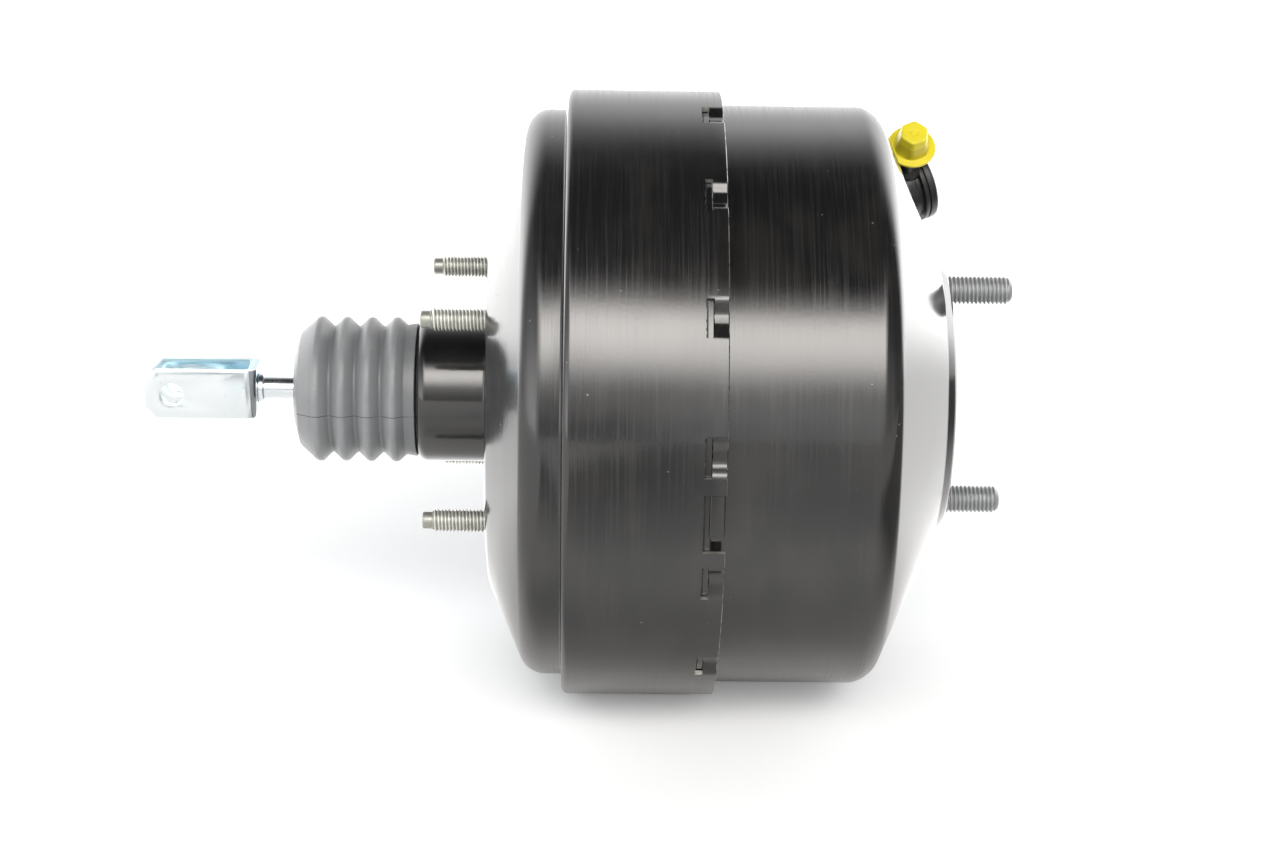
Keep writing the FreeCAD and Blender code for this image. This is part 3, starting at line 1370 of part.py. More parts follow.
def check_document():
    """Stop if anything in the document failed or a sub-part isn't a sound solid."""
    document.recompute()
    for item in document.Objects:
        if "Invalid" in item.State or "Error" in item.State:
            raise RuntimeError("failed: {} {}".format(item.Name, item.State))
    for part in finished_parts:
        if part.Shape.isNull() or not part.Shape.isValid() or not part.Shape.Solids:
            raise RuntimeError("unsound: " + part.Label)


def export_parts():
    """Write each sub-part to a file of its own."""
    os.makedirs(PARTS_FOLDER, exist_ok=True)
    for part in finished_parts:
        part.Shape.exportStep(os.path.join(PARTS_FOLDER, part.Label + ".step"))


make_rear_shell()
make_front_shell()
make_rear_studs()
make_front_studs()
make_stud_plates()
make_neck_pieces()
make_centre_plate()
make_support_plate("rear_support_plate", rear_plate_place, tube_bore, rear_plate_radius)
make_support_plate("front_support_plate", front_plate_place, nose_radius + size.slip_gap,
                   front_plate_radius)
make_diaphragms()
make_valve_body()
make_plunger()
make_stop_key()
make_poppet_pieces()
make_air_filter()
make_input_rod()
make_clevis()
make_output_pieces()
make_return_spring()
make_dust_boot()
make_check_valve()
check_document()
export_parts()
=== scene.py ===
"""Brake booster dressed for the studio: casings, studs, boot, fork, check valve and their finishes.

Lengths are millimetres until a piece is set down, and metres after that. The booster lies along X,
with the pedal side at -X and the master cylinder side at +X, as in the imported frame.
"""
import json
import logging
import math
import random
from dataclasses import dataclass
from enum import Enum
from typing import Callable, Optional, Sequence, Union

import bmesh
import bpy
from mathutils import Matrix, Vector


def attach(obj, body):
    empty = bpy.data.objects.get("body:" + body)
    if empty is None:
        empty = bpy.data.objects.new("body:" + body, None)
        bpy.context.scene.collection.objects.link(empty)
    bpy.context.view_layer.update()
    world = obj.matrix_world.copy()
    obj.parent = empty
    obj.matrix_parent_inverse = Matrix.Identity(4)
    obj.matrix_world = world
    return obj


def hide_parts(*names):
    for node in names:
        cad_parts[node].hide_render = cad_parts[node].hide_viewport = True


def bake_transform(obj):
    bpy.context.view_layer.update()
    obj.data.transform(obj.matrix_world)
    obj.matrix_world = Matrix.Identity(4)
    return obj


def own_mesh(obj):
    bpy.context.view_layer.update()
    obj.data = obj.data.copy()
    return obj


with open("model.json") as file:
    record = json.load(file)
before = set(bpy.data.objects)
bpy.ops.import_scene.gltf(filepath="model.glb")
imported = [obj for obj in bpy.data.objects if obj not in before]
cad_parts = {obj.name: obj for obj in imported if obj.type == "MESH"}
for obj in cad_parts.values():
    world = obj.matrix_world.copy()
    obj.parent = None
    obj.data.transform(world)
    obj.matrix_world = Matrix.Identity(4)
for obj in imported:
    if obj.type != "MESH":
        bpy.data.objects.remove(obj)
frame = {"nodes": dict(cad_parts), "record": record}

MM = 0.001
NOISE_LOW = 0.3
NOISE_HIGH = 0.7
SLACK = 0.01
log = logging.getLogger("booster")


class Body(Enum):
    """The moving bodies of the frame that pieces ride on."""

    HOUSING = "housing"
    POWER_PISTON = "power_piston"
    INPUT_ROD = "input_rod"
    VACUUM_VALVE = "vacuum_valve"
    TRANSPORT_CAP = "transport_cap"


class Slot(Enum):
    """The material slots of the frame's record."""

    BLACK_PAINT = "black_paint"
    BRIGHT_ZINC = "bright_zinc"
    STUD_ZINC = "stud_zinc"
    INNER_STEEL = "inner_steel"
    SPRING_STEEL = "spring_steel"
    BOOT_RUBBER = "boot_rubber"
    BLACK_RUBBER = "black_rubber"
    VALVE_RESIN = "valve_resin"
    BLACK_PLASTIC = "black_plastic"
    WHITE_PLASTIC = "white_plastic"
    YELLOW_CAP = "yellow_cap"
    FILTER_FOAM = "filter_foam"


# Shader maths

Colour = tuple[float, float, float, float]
Amount = Union["Field", float]


def grey(level: float) -> Colour:
    """Return a neutral colour of one level."""
    return (level, level, level, 1.0)


class Field:
    """A number that varies over a surface, on which Python's operators work."""

    def __init__(self, bench: "Bench", socket: bpy.types.NodeSocket) -> None:
        """Wrap a socket of the bench's node tree."""
        self.bench = bench
        self.socket = socket

    def __add__(self, other: Amount) -> "Field":
        """Return self + other."""
        return self.bench.maths("ADD", self, other)

    def __radd__(self, other: Amount) -> "Field":
        """Return other + self."""
        return self.bench.maths("ADD", other, self)

    def __sub__(self, other: Amount) -> "Field":
        """Return self - other."""
        return self.bench.maths("SUBTRACT", self, other)

    def __rsub__(self, other: Amount) -> "Field":
        """Return other - self."""
        return self.bench.maths("SUBTRACT", other, self)

    def __mul__(self, other: Amount) -> "Field":
        """Return self * other."""
        return self.bench.maths("MULTIPLY", self, other)

    def __rmul__(self, other: Amount) -> "Field":
        """Return other * self."""
        return self.bench.maths("MULTIPLY", other, self)

    def __truediv__(self, other: Amount) -> "Field":
        """Return self / other."""
        return self.bench.maths("DIVIDE", self, other)

    def __rtruediv__(self, other: Amount) -> "Field":
        """Return other / self."""
        return self.bench.maths("DIVIDE", other, self)

    def __pow__(self, other: Amount) -> "Field":
        """Return self raised to other."""
        return self.bench.maths("POWER", self, other)

    def __abs__(self) -> "Field":
        """Return the size of self without its sign."""
        return self.bench.maths("ABSOLUTE", self)

    def most(self, other: Amount) -> "Field":
        """Return the larger of self and other."""
        return self.bench.maths("MAXIMUM", self, other)

    def rise(self, start: float, stop: float, low: float = 0.0, high: float = 1.0) -> "Field":
        """Return a soft step of self.

        Args:
            start: The value of self at which the step begins.
            stop: The value at which it ends.
            low: The result before the step.
            high: The result after it.

        Returns:
            The stepped value.
        """
        node = self.bench.add("ShaderNodeMapRange", {"interpolation_type": "SMOOTHSTEP"}, {
            0: self, 1: start, 2: stop, 3: low, 4: high})
        return Field(self.bench, node.outputs[0])

    def fall(self, start: float, stop: float) -> "Field":
        """Return a soft step of self from 1 down to 0."""
        return self.rise(start, stop, 1.0, 0.0)

    def spread(self, low: float = 0.0, high: float = 1.0) -> "Field":
        """Return the usual range of a noise, spread over low to high."""
        return self.rise(NOISE_LOW, NOISE_HIGH, low, high)

    def across(self, other: "Field") -> "Field":
        """Return the distance whose two legs at right angles are self and other."""
        return (self * self + other * other) ** 0.5


Shaded = Union[Field, float, Colour, tuple[float, float, float]]


class Bench:
    """The node tree of one finish or of the world, and the one way to add nodes to it."""

    def __init__(self, tree: bpy.types.NodeTree) -> None:
        """Start on an empty tree.

        Args:
            tree: The tree, whose nodes are removed.
        """
        self.tree = tree
        tree.nodes.clear()
        self.places: dict[str, bpy.types.NodeSocket] = {}

    def add(self, kind: str, settings: Optional[dict[str, object]] = None,
            sockets: Optional[dict[Union[str, int], Shaded]] = None) -> bpy.types.Node:
        """Add a node.

        Args:
            kind: The node's type.
            settings: Its own settings, set first. "stops" gives a ramp's places and colours.
            sockets: Values or links of its input sockets, by name or number.

        Returns:
            The new node.
        """
        node = self.tree.nodes.new(kind)
        for name, value in (settings or {}).items():
            if name == "stops":
                elements = node.color_ramp.elements
                while len(elements) < len(value):
                    elements.new(0.5)
                for element, (place, colour) in zip(elements, value):
                    element.position = place
                    element.color = colour
            else:
                setattr(node, name, value)
        for name, value in (sockets or {}).items():
            if isinstance(value, Field):
                self.tree.links.new(value.socket, node.inputs[name])
            else:
                node.inputs[name].default_value = value
        return node

    def maths(self, operation: str, first: Amount, second: Amount = 0.0) -> Field:
        """Return the result of one Math node."""
        node = self.add("ShaderNodeMath", {"operation": operation}, {0: first, 1: second})
        return Field(self, node.outputs[0])

    def place(self) -> Field:
        """Return the object coordinates.

        Returns:
            The place on the object in metres.
        """
        if "object" not in self.places:
            self.places["object"] = self.add("ShaderNodeTexCoord").outputs["Object"]
        return Field(self, self.places["object"])

    def split(self, vector: Field) -> tuple[Field, Field, Field]:
        """Return the three numbers of a vector."""
        node = self.add("ShaderNodeSeparateXYZ", None, {0: vector})
        return tuple(Field(self, output) for output in node.outputs)

    def joined(self, x: Amount, y: Amount, z: Amount) -> Field:
        """Return a vector made of three numbers."""
        return Field(self, self.add("ShaderNodeCombineXYZ", None, {0: x, 1: y, 2: z}).outputs[0])

    def axes(self) -> tuple[Field, Field, Field]:
        """Return the place on the object in millimetres."""
        return tuple(part * (1.0 / MM) for part in self.split(self.place()))

    def noise(self, where: Field, scale: float, detail: float = 2.0, rough: float = 0.5) -> Field:
        """Return a noise between 0 and 1.

        Args:
            where: The coordinates that it is read at.
            scale: Cycles per unit of those coordinates.
            detail: Number of finer layers.
            rough: Strength of the finer layers.

        Returns:
            The noise's value.
        """
        node = self.add("ShaderNodeTexNoise", {"normalize": True}, {
            "Vector": where, "Scale": scale, "Detail": detail, "Roughness": rough})
        return Field(self, node.outputs["Fac"])

    def cloud(self, scale: float) -> Field:
        """Return a soft noise over the object, at a scale in cycles per metre."""
        return self.noise(self.place(), scale, 3.0, 0.6)

    def cells(self, where: Field, scale: float) -> Field:
        """Return the distance to the nearest point of a scatter of cells."""
        node = self.add("ShaderNodeTexVoronoi", None, {"Vector": where, "Scale": scale})
        return Field(self, node.outputs["Distance"])

    def graded(self, value: Amount, grades: Sequence[tuple[float, float]]) -> Field:
        """Return a value between 0 and 1 that follows straight grades over another.

        Args:
            value: The value that is followed.
            grades: Places from 0 to 1 with the level at each.

        Returns:
            The graded level.
        """
        node = self.add("ShaderNodeValToRGB", {
            "stops": [(place, grey(level)) for place, level in grades]}, {0: value})
        return Field(self, node.outputs[0])

    def mixed(self, share: Amount, first: Shaded, second: Shaded) -> Field:
        """Return a colour between two, at a share from 0 to 1.

        Args:
            share: The share of the second colour.
            first: The colour at 0.
            second: The colour at 1.

        Returns:
            The mixed colour.
        """
        node = self.add("ShaderNodeMix", {"data_type": "RGBA", "clamp_factor": True},
                        {0: share, 6: first, 7: second})
        return Field(self, node.outputs[2])

    def bumped(self, height: Field, depth: float, strength: float = 1.0) -> Field:
        """Return a normal tilted by a height whose full range is depth metres.

        Args:
            height: The height, from 0 to 1.
            depth: Its full range in metres.
            strength: The share of the tilt that is kept.

        Returns:
            The tilted normal.
        """
        node = self.add("ShaderNodeBump", None, {
            "Strength": strength, "Distance": depth, "Height": height})
        return Field(self, node.outputs[0])

    def surface(self, sockets: dict[Union[str, int], Shaded]) -> None:
        """Close the tree with one principled surface.

        Args:
            sockets: Values or links of the surface's inputs, by name.
        """
        shader = self.add("ShaderNodeBsdfPrincipled", None, sockets)
        output = self.add("ShaderNodeOutputMaterial")
        self.tree.links.new(shader.outputs[0], output.inputs["Surface"])


# Finishes

@dataclass(frozen=True)
class Finish:
    """A finish of one material, made once and shared by its pieces."""

    name: str

    def dress(self, bench: Bench) -> None:
        """Lay the finish's nodes on a bench."""
        bench.surface({"Base Color": grey(0.5)})

    def material(self) -> bpy.types.Material:
        """Return the finish's material, which is made at the first call.

        Returns:
            The one material of this finish.
        """
        made = bpy.data.materials.get(self.name)
        if made is None:
            made = bpy.data.materials.new(self.name)
            made.use_nodes = True
            self.dress(Bench(made.node_tree))
        return made


@dataclass(frozen=True)
class GlossPaint(Finish):
    """Gloss black paint on spun steel: faint turning marks, orange peel, dust and a worn rim edge."""

    tone: float = 0.009
    haze_tint: tuple[float, float, float] = (2.0, 1.92, 1.86)
    streak_tone: Colour = (0.022, 0.0215, 0.0215, 1.0)
    steel_tone: Colour = (0.52, 0.50, 0.47, 1.0)
    rim_edge: float = 80.5
    rim_radius: float = 107.2
    gloss: float = 0.075
    index: float = 1.75
    bump: float = 0.000036
    least_radius: float = 0.01
    turned_start: float = 95.0
    turned_full: float = 101.0
    peel_scale: float = 620.0
    dust_scale: float = 190.0
    patch_scale: float = 55.0
    smear_scale: float = 26.0
    chip_scale: float = 210.0

    def dress(self, bench: Bench) -> None:
        """Lay the paint's nodes on a bench.

        Args:
            bench: The bench of the finish's material.
        """
        where = bench.place()
        x, y, z = bench.axes()
        radius = y.across(z) + self.least_radius
        along = x * 0.8 + radius * 0.75
        marks = bench.noise(bench.joined(along * 2.1, y / radius * 2.4, z / radius * 2.4), 1.0, 4.0, 0.64)
        turned_part = radius.rise(self.turned_start, self.turned_full, 0.25, 1.0)
        waves = bench.noise(bench.joined(along * 0.16, y / radius * 2.6, z / radius * 2.6), 1.0, 1.0)
        peel = bench.noise(where, self.peel_scale)
        dust = bench.cells(where, self.dust_scale).fall(0.035, 0.085)
        dust = dust * bench.noise(where, self.patch_scale, 1.0).rise(0.55, 0.66)
        smear = bench.cloud(self.smear_scale)
        worn = x.rise(self.rim_edge, self.rim_edge + 0.25) * (radius - self.rim_radius).rise(0.0, 0.6)
        worn = worn * bench.noise(where, self.chip_scale, 3.0, 0.7).rise(0.36, 0.52)
        height = marks * turned_part * 0.42 + waves * 0.9 + peel * 0.28 + dust * 0.9
        haze = bench.noise(bench.joined(along * 0.05, y / radius * 3.0, z / radius * 3.0), 1.0, 3.0, 0.6)
        streak = marks.rise(0.44, 0.7) * turned_part
        hazed = tuple(self.tone * tint for tint in self.haze_tint) + (1.0,)
        body = bench.mixed(haze.rise(0.42, 0.68), (self.tone, self.tone, self.tone * 1.06, 1.0), hazed)
        body = bench.mixed(streak * haze.rise(0.3, 0.6, 0.25, 1.0), body, self.streak_tone)
        tone = bench.mixed(dust * 0.55, body, grey(0.2))
        bench.surface({
            "Base Color": bench.mixed(worn, tone, self.steel_tone),
            "Metallic": worn,
            "Roughness": smear.spread(self.gloss, self.gloss + 0.06) + worn * 0.2
                         + marks.rise(0.42, 0.66) * turned_part * 0.10 + dust * 0.25,
            "IOR": self.index,
            "Normal": bench.bumped(height, self.bump),
        })


@dataclass(frozen=True)
class TornSteel(Finish):
    """Bare steel where the rim was lanced: bright, ragged and a little rusty in places."""

    tone: Colour = (0.50, 0.49, 0.46, 1.0)
    rust: Colour = (0.13, 0.12, 0.115, 1.0)
    tear_scale: float = 900.0
    stain_scale: float = 130.0
    bump: float = 0.00016

    def dress(self, bench: Bench) -> None:
        """Lay the torn steel's nodes on a bench.

        Args:
            bench: The bench of the finish's material.
        """
        tear = bench.noise(bench.place(), self.tear_scale, 4.0, 0.7)
        stain = bench.cloud(self.stain_scale).rise(0.45, 0.7)
        bench.surface({
            "Base Color": bench.mixed(stain * 0.7, self.tone, self.rust),
            "Metallic": 0.9,
            "Roughness": tear.rise(0.2, 0.8, 0.28, 0.6),
            "Normal": bench.bumped(tear, self.bump),
        })


@dataclass(frozen=True)
class BrightZinc(Finish):
    """Bright zinc with a faint blue passivation, fine press marks and tiny pits, and, where set, painted
    shade on the inner faces between a fork's cheeks.
    """

    tone: Colour = (0.80, 0.83, 0.86, 1.0)
    blue: Colour = (0.62, 0.74, 0.80, 1.0)
    gloss: float = 0.2
    # The inner faces within this half gap get a darker, bluer tone, which is painted shade between the fork's
    # cheeks. A value of 0 turns it off.
    inner: float = 0.0
    inner_shade_tone: Colour = (0.46, 0.60, 0.66, 1.0)
    cloud_scale: float = 75.0
    pit_scale: float = 420.0
    bump: float = 0.00002

    def dress(self, bench: Bench) -> None:
        """Lay the zinc's nodes on a bench.

        Args:
            bench: The bench of the finish's material.
        """
        x, y, z = bench.axes()
        cloud = bench.cloud(self.cloud_scale)
        grain = bench.noise(bench.joined(x * 0.5, y * 2.2, z * 2.2), 1.0, 3.0, 0.6)
        pits = bench.cells(bench.place(), self.pit_scale).fall(0.06, 0.16) * cloud.rise(0.45, 0.6)
        tone = bench.mixed(cloud.rise(0.42, 0.8), self.tone, self.blue)
        # Painted shade: the upper part of the inner faces between the cheeks takes the darker, bluer tone.
        if self.inner > 0.0:
            inside = abs(y).fall(self.inner, self.inner + 0.3) * z.rise(1.0, 6.0)
            tone = bench.mixed(inside, tone, self.inner_shade_tone)
        bench.surface({
            "Base Color": bench.mixed(pits * 0.6, tone, grey(0.3)),
            "Metallic": 1.0,
            "Roughness": cloud.spread(self.gloss, self.gloss + 0.08) + pits * 0.2,
            "Normal": bench.bumped(grain * 0.5 + cloud * 0.5 - pits * 0.8, self.bump),
        })


@dataclass(frozen=True)
class ThreadZinc(Finish):
    """Zinc on rolled threads, bright on the crests, with painted shade that darkens and dulls the roots."""

    spot: tuple[float, float] = (37.0, 37.0)
    root: float = 3.3
    crest: float = 4.0
    bright: Colour = (0.90, 0.90, 0.85, 1.0)
    # Dark tone of the thread roots, which is painted shade, and of the stains.
    stain_and_root_shade: Colour = (0.37, 0.375, 0.34, 1.0)
    gloss: float = 0.36
    stain_scale: float = 240.0
    bump: float = 0.00004

    def dress(self, bench: Bench) -> None:
        """Lay the thread's nodes on a bench.

        Args:
            bench: The bench of the finish's material.
        """
        x, y, z = bench.axes()
        side = abs(y) - self.spot[0]
        level = abs(z) - self.spot[1]
        radius = side.across(level)
        # Painted shade: the colour runs from the dark root tone up to the bright crest tone across the
        # thread's profile.
        crest = radius.rise(self.root + 0.08, self.crest - 0.04)
        stain = bench.cloud(self.stain_scale)
        scratch = bench.noise(bench.joined(x * 3.0, y * 1.2, z * 1.2), 1.0, 3.0, 0.65)
        bright = bench.mixed(stain.rise(0.45, 0.8) * 0.6, self.bright, self.stain_and_root_shade)
        bench.surface({
            "Base Color": bench.mixed(crest, self.stain_and_root_shade, bright),
            "Metallic": 0.7,
            "Roughness": stain.spread(self.gloss, self.gloss + 0.12),
            "Normal": bench.bumped(scratch + stain * 0.6, self.bump),
        })


@dataclass(frozen=True)
class BootRubber(Finish):
    """Moulded grey rubber, dusty, with painted shade darkening the valleys between the folds."""

    valley: float = 22.6
    crest: float = 26.9
    end_start: float = -62.5
    # Painted shade: the dark tone of the valleys between the folds.
    valley_painted_shade: Colour = (0.125, 0.131, 0.138, 1.0)
    tone: Colour = (0.205, 0.213, 0.223, 1.0)
    dusty: Colour = (0.245, 0.253, 0.262, 1.0)
    seam_tone: Colour = (0.045, 0.047, 0.05, 1.0)
    seam_drop: float = 5.8
    seam_slope: float = 0.12
    cloud_scale: float = 60.0
    grain_scale: float = 1600.0
    speck_scale: float = 520.0
    bump: float = 0.00006

    def dress(self, bench: Bench) -> None:
        """Lay the boot's nodes on a bench.

        Args:
            bench: The bench of the finish's material.
        """
        where = bench.place()
        x, y, z = bench.axes()
        radius = y.across(z)
        # Painted shade: the valleys take the dark tone, while the crests and the end fold keep the pale one.
        fold = radius.rise(self.valley - 0.4, self.crest - 0.6)
        end = x.fall(self.end_start - 2.0, self.end_start)
        cloud = bench.noise(where, self.cloud_scale, 4.0, 0.65)
        grain = bench.noise(where, self.grain_scale)
        specks = bench.cells(where, self.speck_scale).fall(0.05, 0.13) * cloud.rise(0.5, 0.62)
        pale = bench.mixed(cloud.spread(), self.tone, self.dusty)
        tone = bench.mixed(fold.most(end), self.valley_painted_shade, pale)
        seam = abs(z + self.seam_drop + y * self.seam_slope).fall(0.09, 0.2) * y.fall(-5.0, 0.0)
        tone = bench.mixed(seam * cloud.rise(0.3, 0.5), tone, self.seam_tone)
        bench.surface({
            "Base Color": bench.mixed(specks * 0.4, tone, grey(0.62)),
            "Roughness": cloud.spread(0.34, 0.46),
            "Specular IOR Level": 0.5,
            "Normal": bench.bumped(grain * 0.5 + cloud * 0.8, self.bump),
        })


@dataclass(frozen=True)
class BlackRubber(Finish):
    """Black moulded rubber with a soft sheen."""

    tone: Colour = grey(0.014)
    pale_tone: Colour = grey(0.03)
    cloud_scale: float = 90.0
    grain_scale: float = 1800.0
    bump: float = 0.00004

    def dress(self, bench: Bench) -> None:
        """Lay the rubber's nodes on a bench.

        Args:
            bench: The bench of the finish's material.
        """
        cloud = bench.cloud(self.cloud_scale)
        grain = bench.noise(bench.place(), self.grain_scale)
        bench.surface({
            "Base Color": bench.mixed(cloud.rise(0.4, 0.75), self.tone, self.pale_tone),
            "Roughness": cloud.spread(0.4, 0.55),
            "Normal": bench.bumped(grain + cloud, self.bump),
        })


@dataclass(frozen=True)
class MouldedPlastic(Finish):
    """Moulded plastic with a fine spark grain and a little dust."""

    tone: Colour = (0.018, 0.018, 0.019, 1.0)
    gloss: float = 0.3
    cloud_scale: float = 110.0
    spark_scale: float = 1300.0
    bump: float = 0.00003

    def dress(self, bench: Bench) -> None:
        """Lay the plastic's nodes on a bench.

        Args:
            bench: The bench of the finish's material.
        """
        cloud = bench.cloud(self.cloud_scale)
        spark = bench.noise(bench.place(), self.spark_scale, 2.0, 0.6)
        bright = tuple(min(1.0, level * 1.35 + 0.006) for level in self.tone[:3]) + (1.0,)
        bench.surface({
            "Base Color": bench.mixed(cloud.rise(0.42, 0.72), self.tone, bright),
            "Roughness": cloud.spread(self.gloss, self.gloss + 0.12),
            "Normal": bench.bumped(spark + cloud * 0.6, self.bump),
        })


@dataclass(frozen=True)
class CapPlastic(Finish):
    """Soft yellow polyethylene, a little see-through, with painted shade where the nozzle stands behind its
    wall.
    """

    tone: Colour = (0.80, 0.68, 0.030, 1.0)
    # Darker yellow, used for painted shade where the nozzle stands behind the wall and for a little random
    # mottling.
    shade: Colour = (0.50, 0.43, 0.024, 1.0)
    foot: tuple[float, float, float] = (0.0, 0.0, 0.0)
    along: tuple[float, float, float] = (0.0, 0.0, 1.0)
    nozzle_end: float = 33.0
    skirt: float = 28.0
    cloud_scale: float = 160.0
    bump: float = 0.00008

    def dress(self, bench: Bench) -> None:
        """Lay the cap's nodes on a bench.

        Args:
            bench: The bench of the finish's material.
        """
        x, y, z = bench.axes()
        reach = ((x - self.foot[0]) * self.along[0] + (y - self.foot[1]) * self.along[1]
                 + (z - self.foot[2]) * self.along[2])
        # Painted shade: the skirt is darker over the length where the nozzle stands behind it.
        behind = reach.fall(self.nozzle_end - 0.4, self.nozzle_end + 0.8)
        skirt = reach.rise(self.skirt, self.skirt + 1.0)
        cloud = bench.cloud(self.cloud_scale)
        share = behind * skirt * 0.55 + cloud.rise(0.4, 0.8) * 0.12
        bench.surface({
            "Base Color": bench.mixed(share, self.tone, self.shade),
            "Roughness": cloud.spread(0.34, 0.44),
            "Subsurface Weight": 0.12,
            "Subsurface Radius": (0.9, 0.7, 0.1),
            "Subsurface Scale": 0.0012,
            "Normal": bench.bumped(cloud, self.bump),
        })


@dataclass(frozen=True)
class PressedSteel(Finish):
    """Oiled pressed or drawn steel with fine marks along its draw."""

    tone: Colour = (0.42, 0.41, 0.39, 1.0)
    stain_tone: Colour = (0.22, 0.205, 0.185, 1.0)
    gloss: float = 0.3
    stain_scale: float = 70.0
    bump: float = 0.00004

    def dress(self, bench: Bench) -> None:
        """Lay the steel's nodes on a bench.

        Args:
            bench: The bench of the finish's material.
        """
        x, y, z = bench.axes()
        radius = y.across(z)
        marks = bench.noise(bench.joined(x * 2.6 + radius * 2.2, y * 0.06, z * 0.06), 1.0, 3.0, 0.65)
        stain = bench.cloud(self.stain_scale).rise(0.45, 0.72)
        bench.surface({
            "Base Color": bench.mixed(stain * 0.6, self.tone, self.stain_tone),
            "Metallic": 0.95,
            "Roughness": marks.spread(self.gloss, self.gloss + 0.14),
            "Normal": bench.bumped(marks + stain * 0.4, self.bump),
        })


@dataclass(frozen=True)
class Foam(Finish):
    """Open-cell foam and felt, with painted shade darkening the pores."""

    pore_shade_tone: Colour = grey(0.02)
    tone: Colour = (0.11, 0.105, 0.1, 1.0)
    pore_scale: float = 900.0
    bump: float = 0.0004

    def dress(self, bench: Bench) -> None:
        """Lay the foam's nodes on a bench.

        Args:
            bench: The bench of the finish's material.
        """
        # Painted shade: the middle of each pore takes the dark tone.
        pores = bench.cells(bench.place(), self.pore_scale)
        bench.surface({
            "Base Color": bench.mixed(pores.rise(0.1, 0.6), self.pore_shade_tone, self.tone),
            "Roughness": 0.95,
            "Normal": bench.bumped(pores, self.bump),
        })


PAINT = GlossPaint("paint_gloss_black")
TORN = TornSteel("steel_torn")
ZINC = BrightZinc("zinc_bright")
FORK_ZINC = BrightZinc("zinc_fork", tone=(0.84, 0.88, 0.90, 1.0), blue=(0.74, 0.84, 0.88, 1.0),
                       gloss=0.14, inner=6.7)
REAR_THREAD = ThreadZinc("zinc_thread_m8")
FRONT_THREAD = ThreadZinc("zinc_thread_m10", spot=(0.0, 40.0), root=4.15, crest=5.0,
                          bright=(0.58, 0.60, 0.61, 1.0), stain_and_root_shade=(0.36, 0.37, 0.375, 1.0), gloss=0.46)
BOOT = BootRubber("rubber_boot_grey")
RUBBER = BlackRubber("rubber_black")
STEEL = PressedSteel("steel_pressed")
SPRING = PressedSteel("steel_spring", tone=(0.30, 0.29, 0.28, 1.0), stain_tone=(0.12, 0.11, 0.10, 1.0),
                      gloss=0.26)
RESIN = MouldedPlastic("resin_valve_body", tone=(0.045, 0.030, 0.022, 1.0), gloss=0.36)
BLACK_PLASTIC = MouldedPlastic("plastic_black")
WHITE_PLASTIC = MouldedPlastic("plastic_white", tone=(0.72, 0.71, 0.67, 1.0), gloss=0.34)
FOAM = Foam("foam_filter")

SLOT_FINISHES: dict[Slot, Finish] = {
    Slot.BLACK_PAINT: PAINT,
    Slot.BRIGHT_ZINC: ZINC,
    Slot.STUD_ZINC: REAR_THREAD,
    Slot.INNER_STEEL: STEEL,
    Slot.SPRING_STEEL: SPRING,
    Slot.BOOT_RUBBER: BOOT,
    Slot.BLACK_RUBBER: RUBBER,
    Slot.VALVE_RESIN: RESIN,
    Slot.BLACK_PLASTIC: BLACK_PLASTIC,
    Slot.WHITE_PLASTIC: WHITE_PLASTIC,
    Slot.FILTER_FOAM: FOAM,
}


# Mesh tools

@dataclass(frozen=True)
class Bend:
    """A corner of an outline: length along X, radius from the axis, and its rounding."""

    x: float
    r: float
    rounding: float = 0.0
    steps: int = 5


def angle_at(outline: Sequence[Bend], index: int) -> float:
    """Return how far an outline turns at one of its corners, in radians.

    Args:
        outline: The corners of a closed outline.
        index: The corner's number.

    Returns:
        The angle between the edges on both sides.
    """
    here = outline[index]
    back = outline[index - 1]
    ahead = outline[(index + 1) % len(outline)]
    first = Vector((here.x - back.x, here.r - back.r))
    second = Vector((ahead.x - here.x, ahead.r - here.r))
    return first.angle(second)


def outline_of(outline: Sequence[Bend]) -> bmesh.types.BMesh:
    """Return a closed wire outline in the XY plane with its corners rounded.

    Args:
        outline: The corners with their roundings.

    Returns:
        A mesh of one flat face, whose edges are the outline.
    """
    mesh = bmesh.new()
    corners = [mesh.verts.new((bend.x, bend.r, 0.0)) for bend in outline]
    mesh.faces.new(corners)
    for index, (corner, bend) in enumerate(zip(corners, outline)):
        if bend.rounding > 0.0:
            reach = bend.rounding * math.tan(angle_at(outline, index) / 2)
            bmesh.ops.bevel(mesh, geom=[corner], offset=reach, offset_type="OFFSET",
                            segments=bend.steps, profile=0.5, affect="VERTICES", material=-1)
    return mesh


def turned(outline: Sequence[Bend], steps: int) -> bmesh.types.BMesh:
    """Turn an outline into a closed skin round the X axis.

    Args:
        outline: The corners of the closed outline. Two of them may lie on the axis.
        steps: Number of steps round the axis.

    Returns:
        The closed skin, with its faces outwards.
    """
    mesh = outline_of(outline)
    bmesh.ops.delete(mesh, geom=mesh.faces[:], context="FACES_ONLY")
    core = [edge for edge in mesh.edges if all(abs(vert.co.y) < 1e-6 for vert in edge.verts)]
    bmesh.ops.delete(mesh, geom=core, context="EDGES")
    bmesh.ops.spin(mesh, geom=mesh.verts[:] + mesh.edges[:], cent=(0, 0, 0), axis=(1, 0, 0),
                   dvec=(0, 0, 0), angle=2 * math.pi, steps=steps, use_merge=True,
                   use_duplicate=False)
    bmesh.ops.remove_doubles(mesh, verts=mesh.verts[:], dist=1e-4)
    bmesh.ops.recalc_face_normals(mesh, faces=mesh.faces[:])
    return mesh


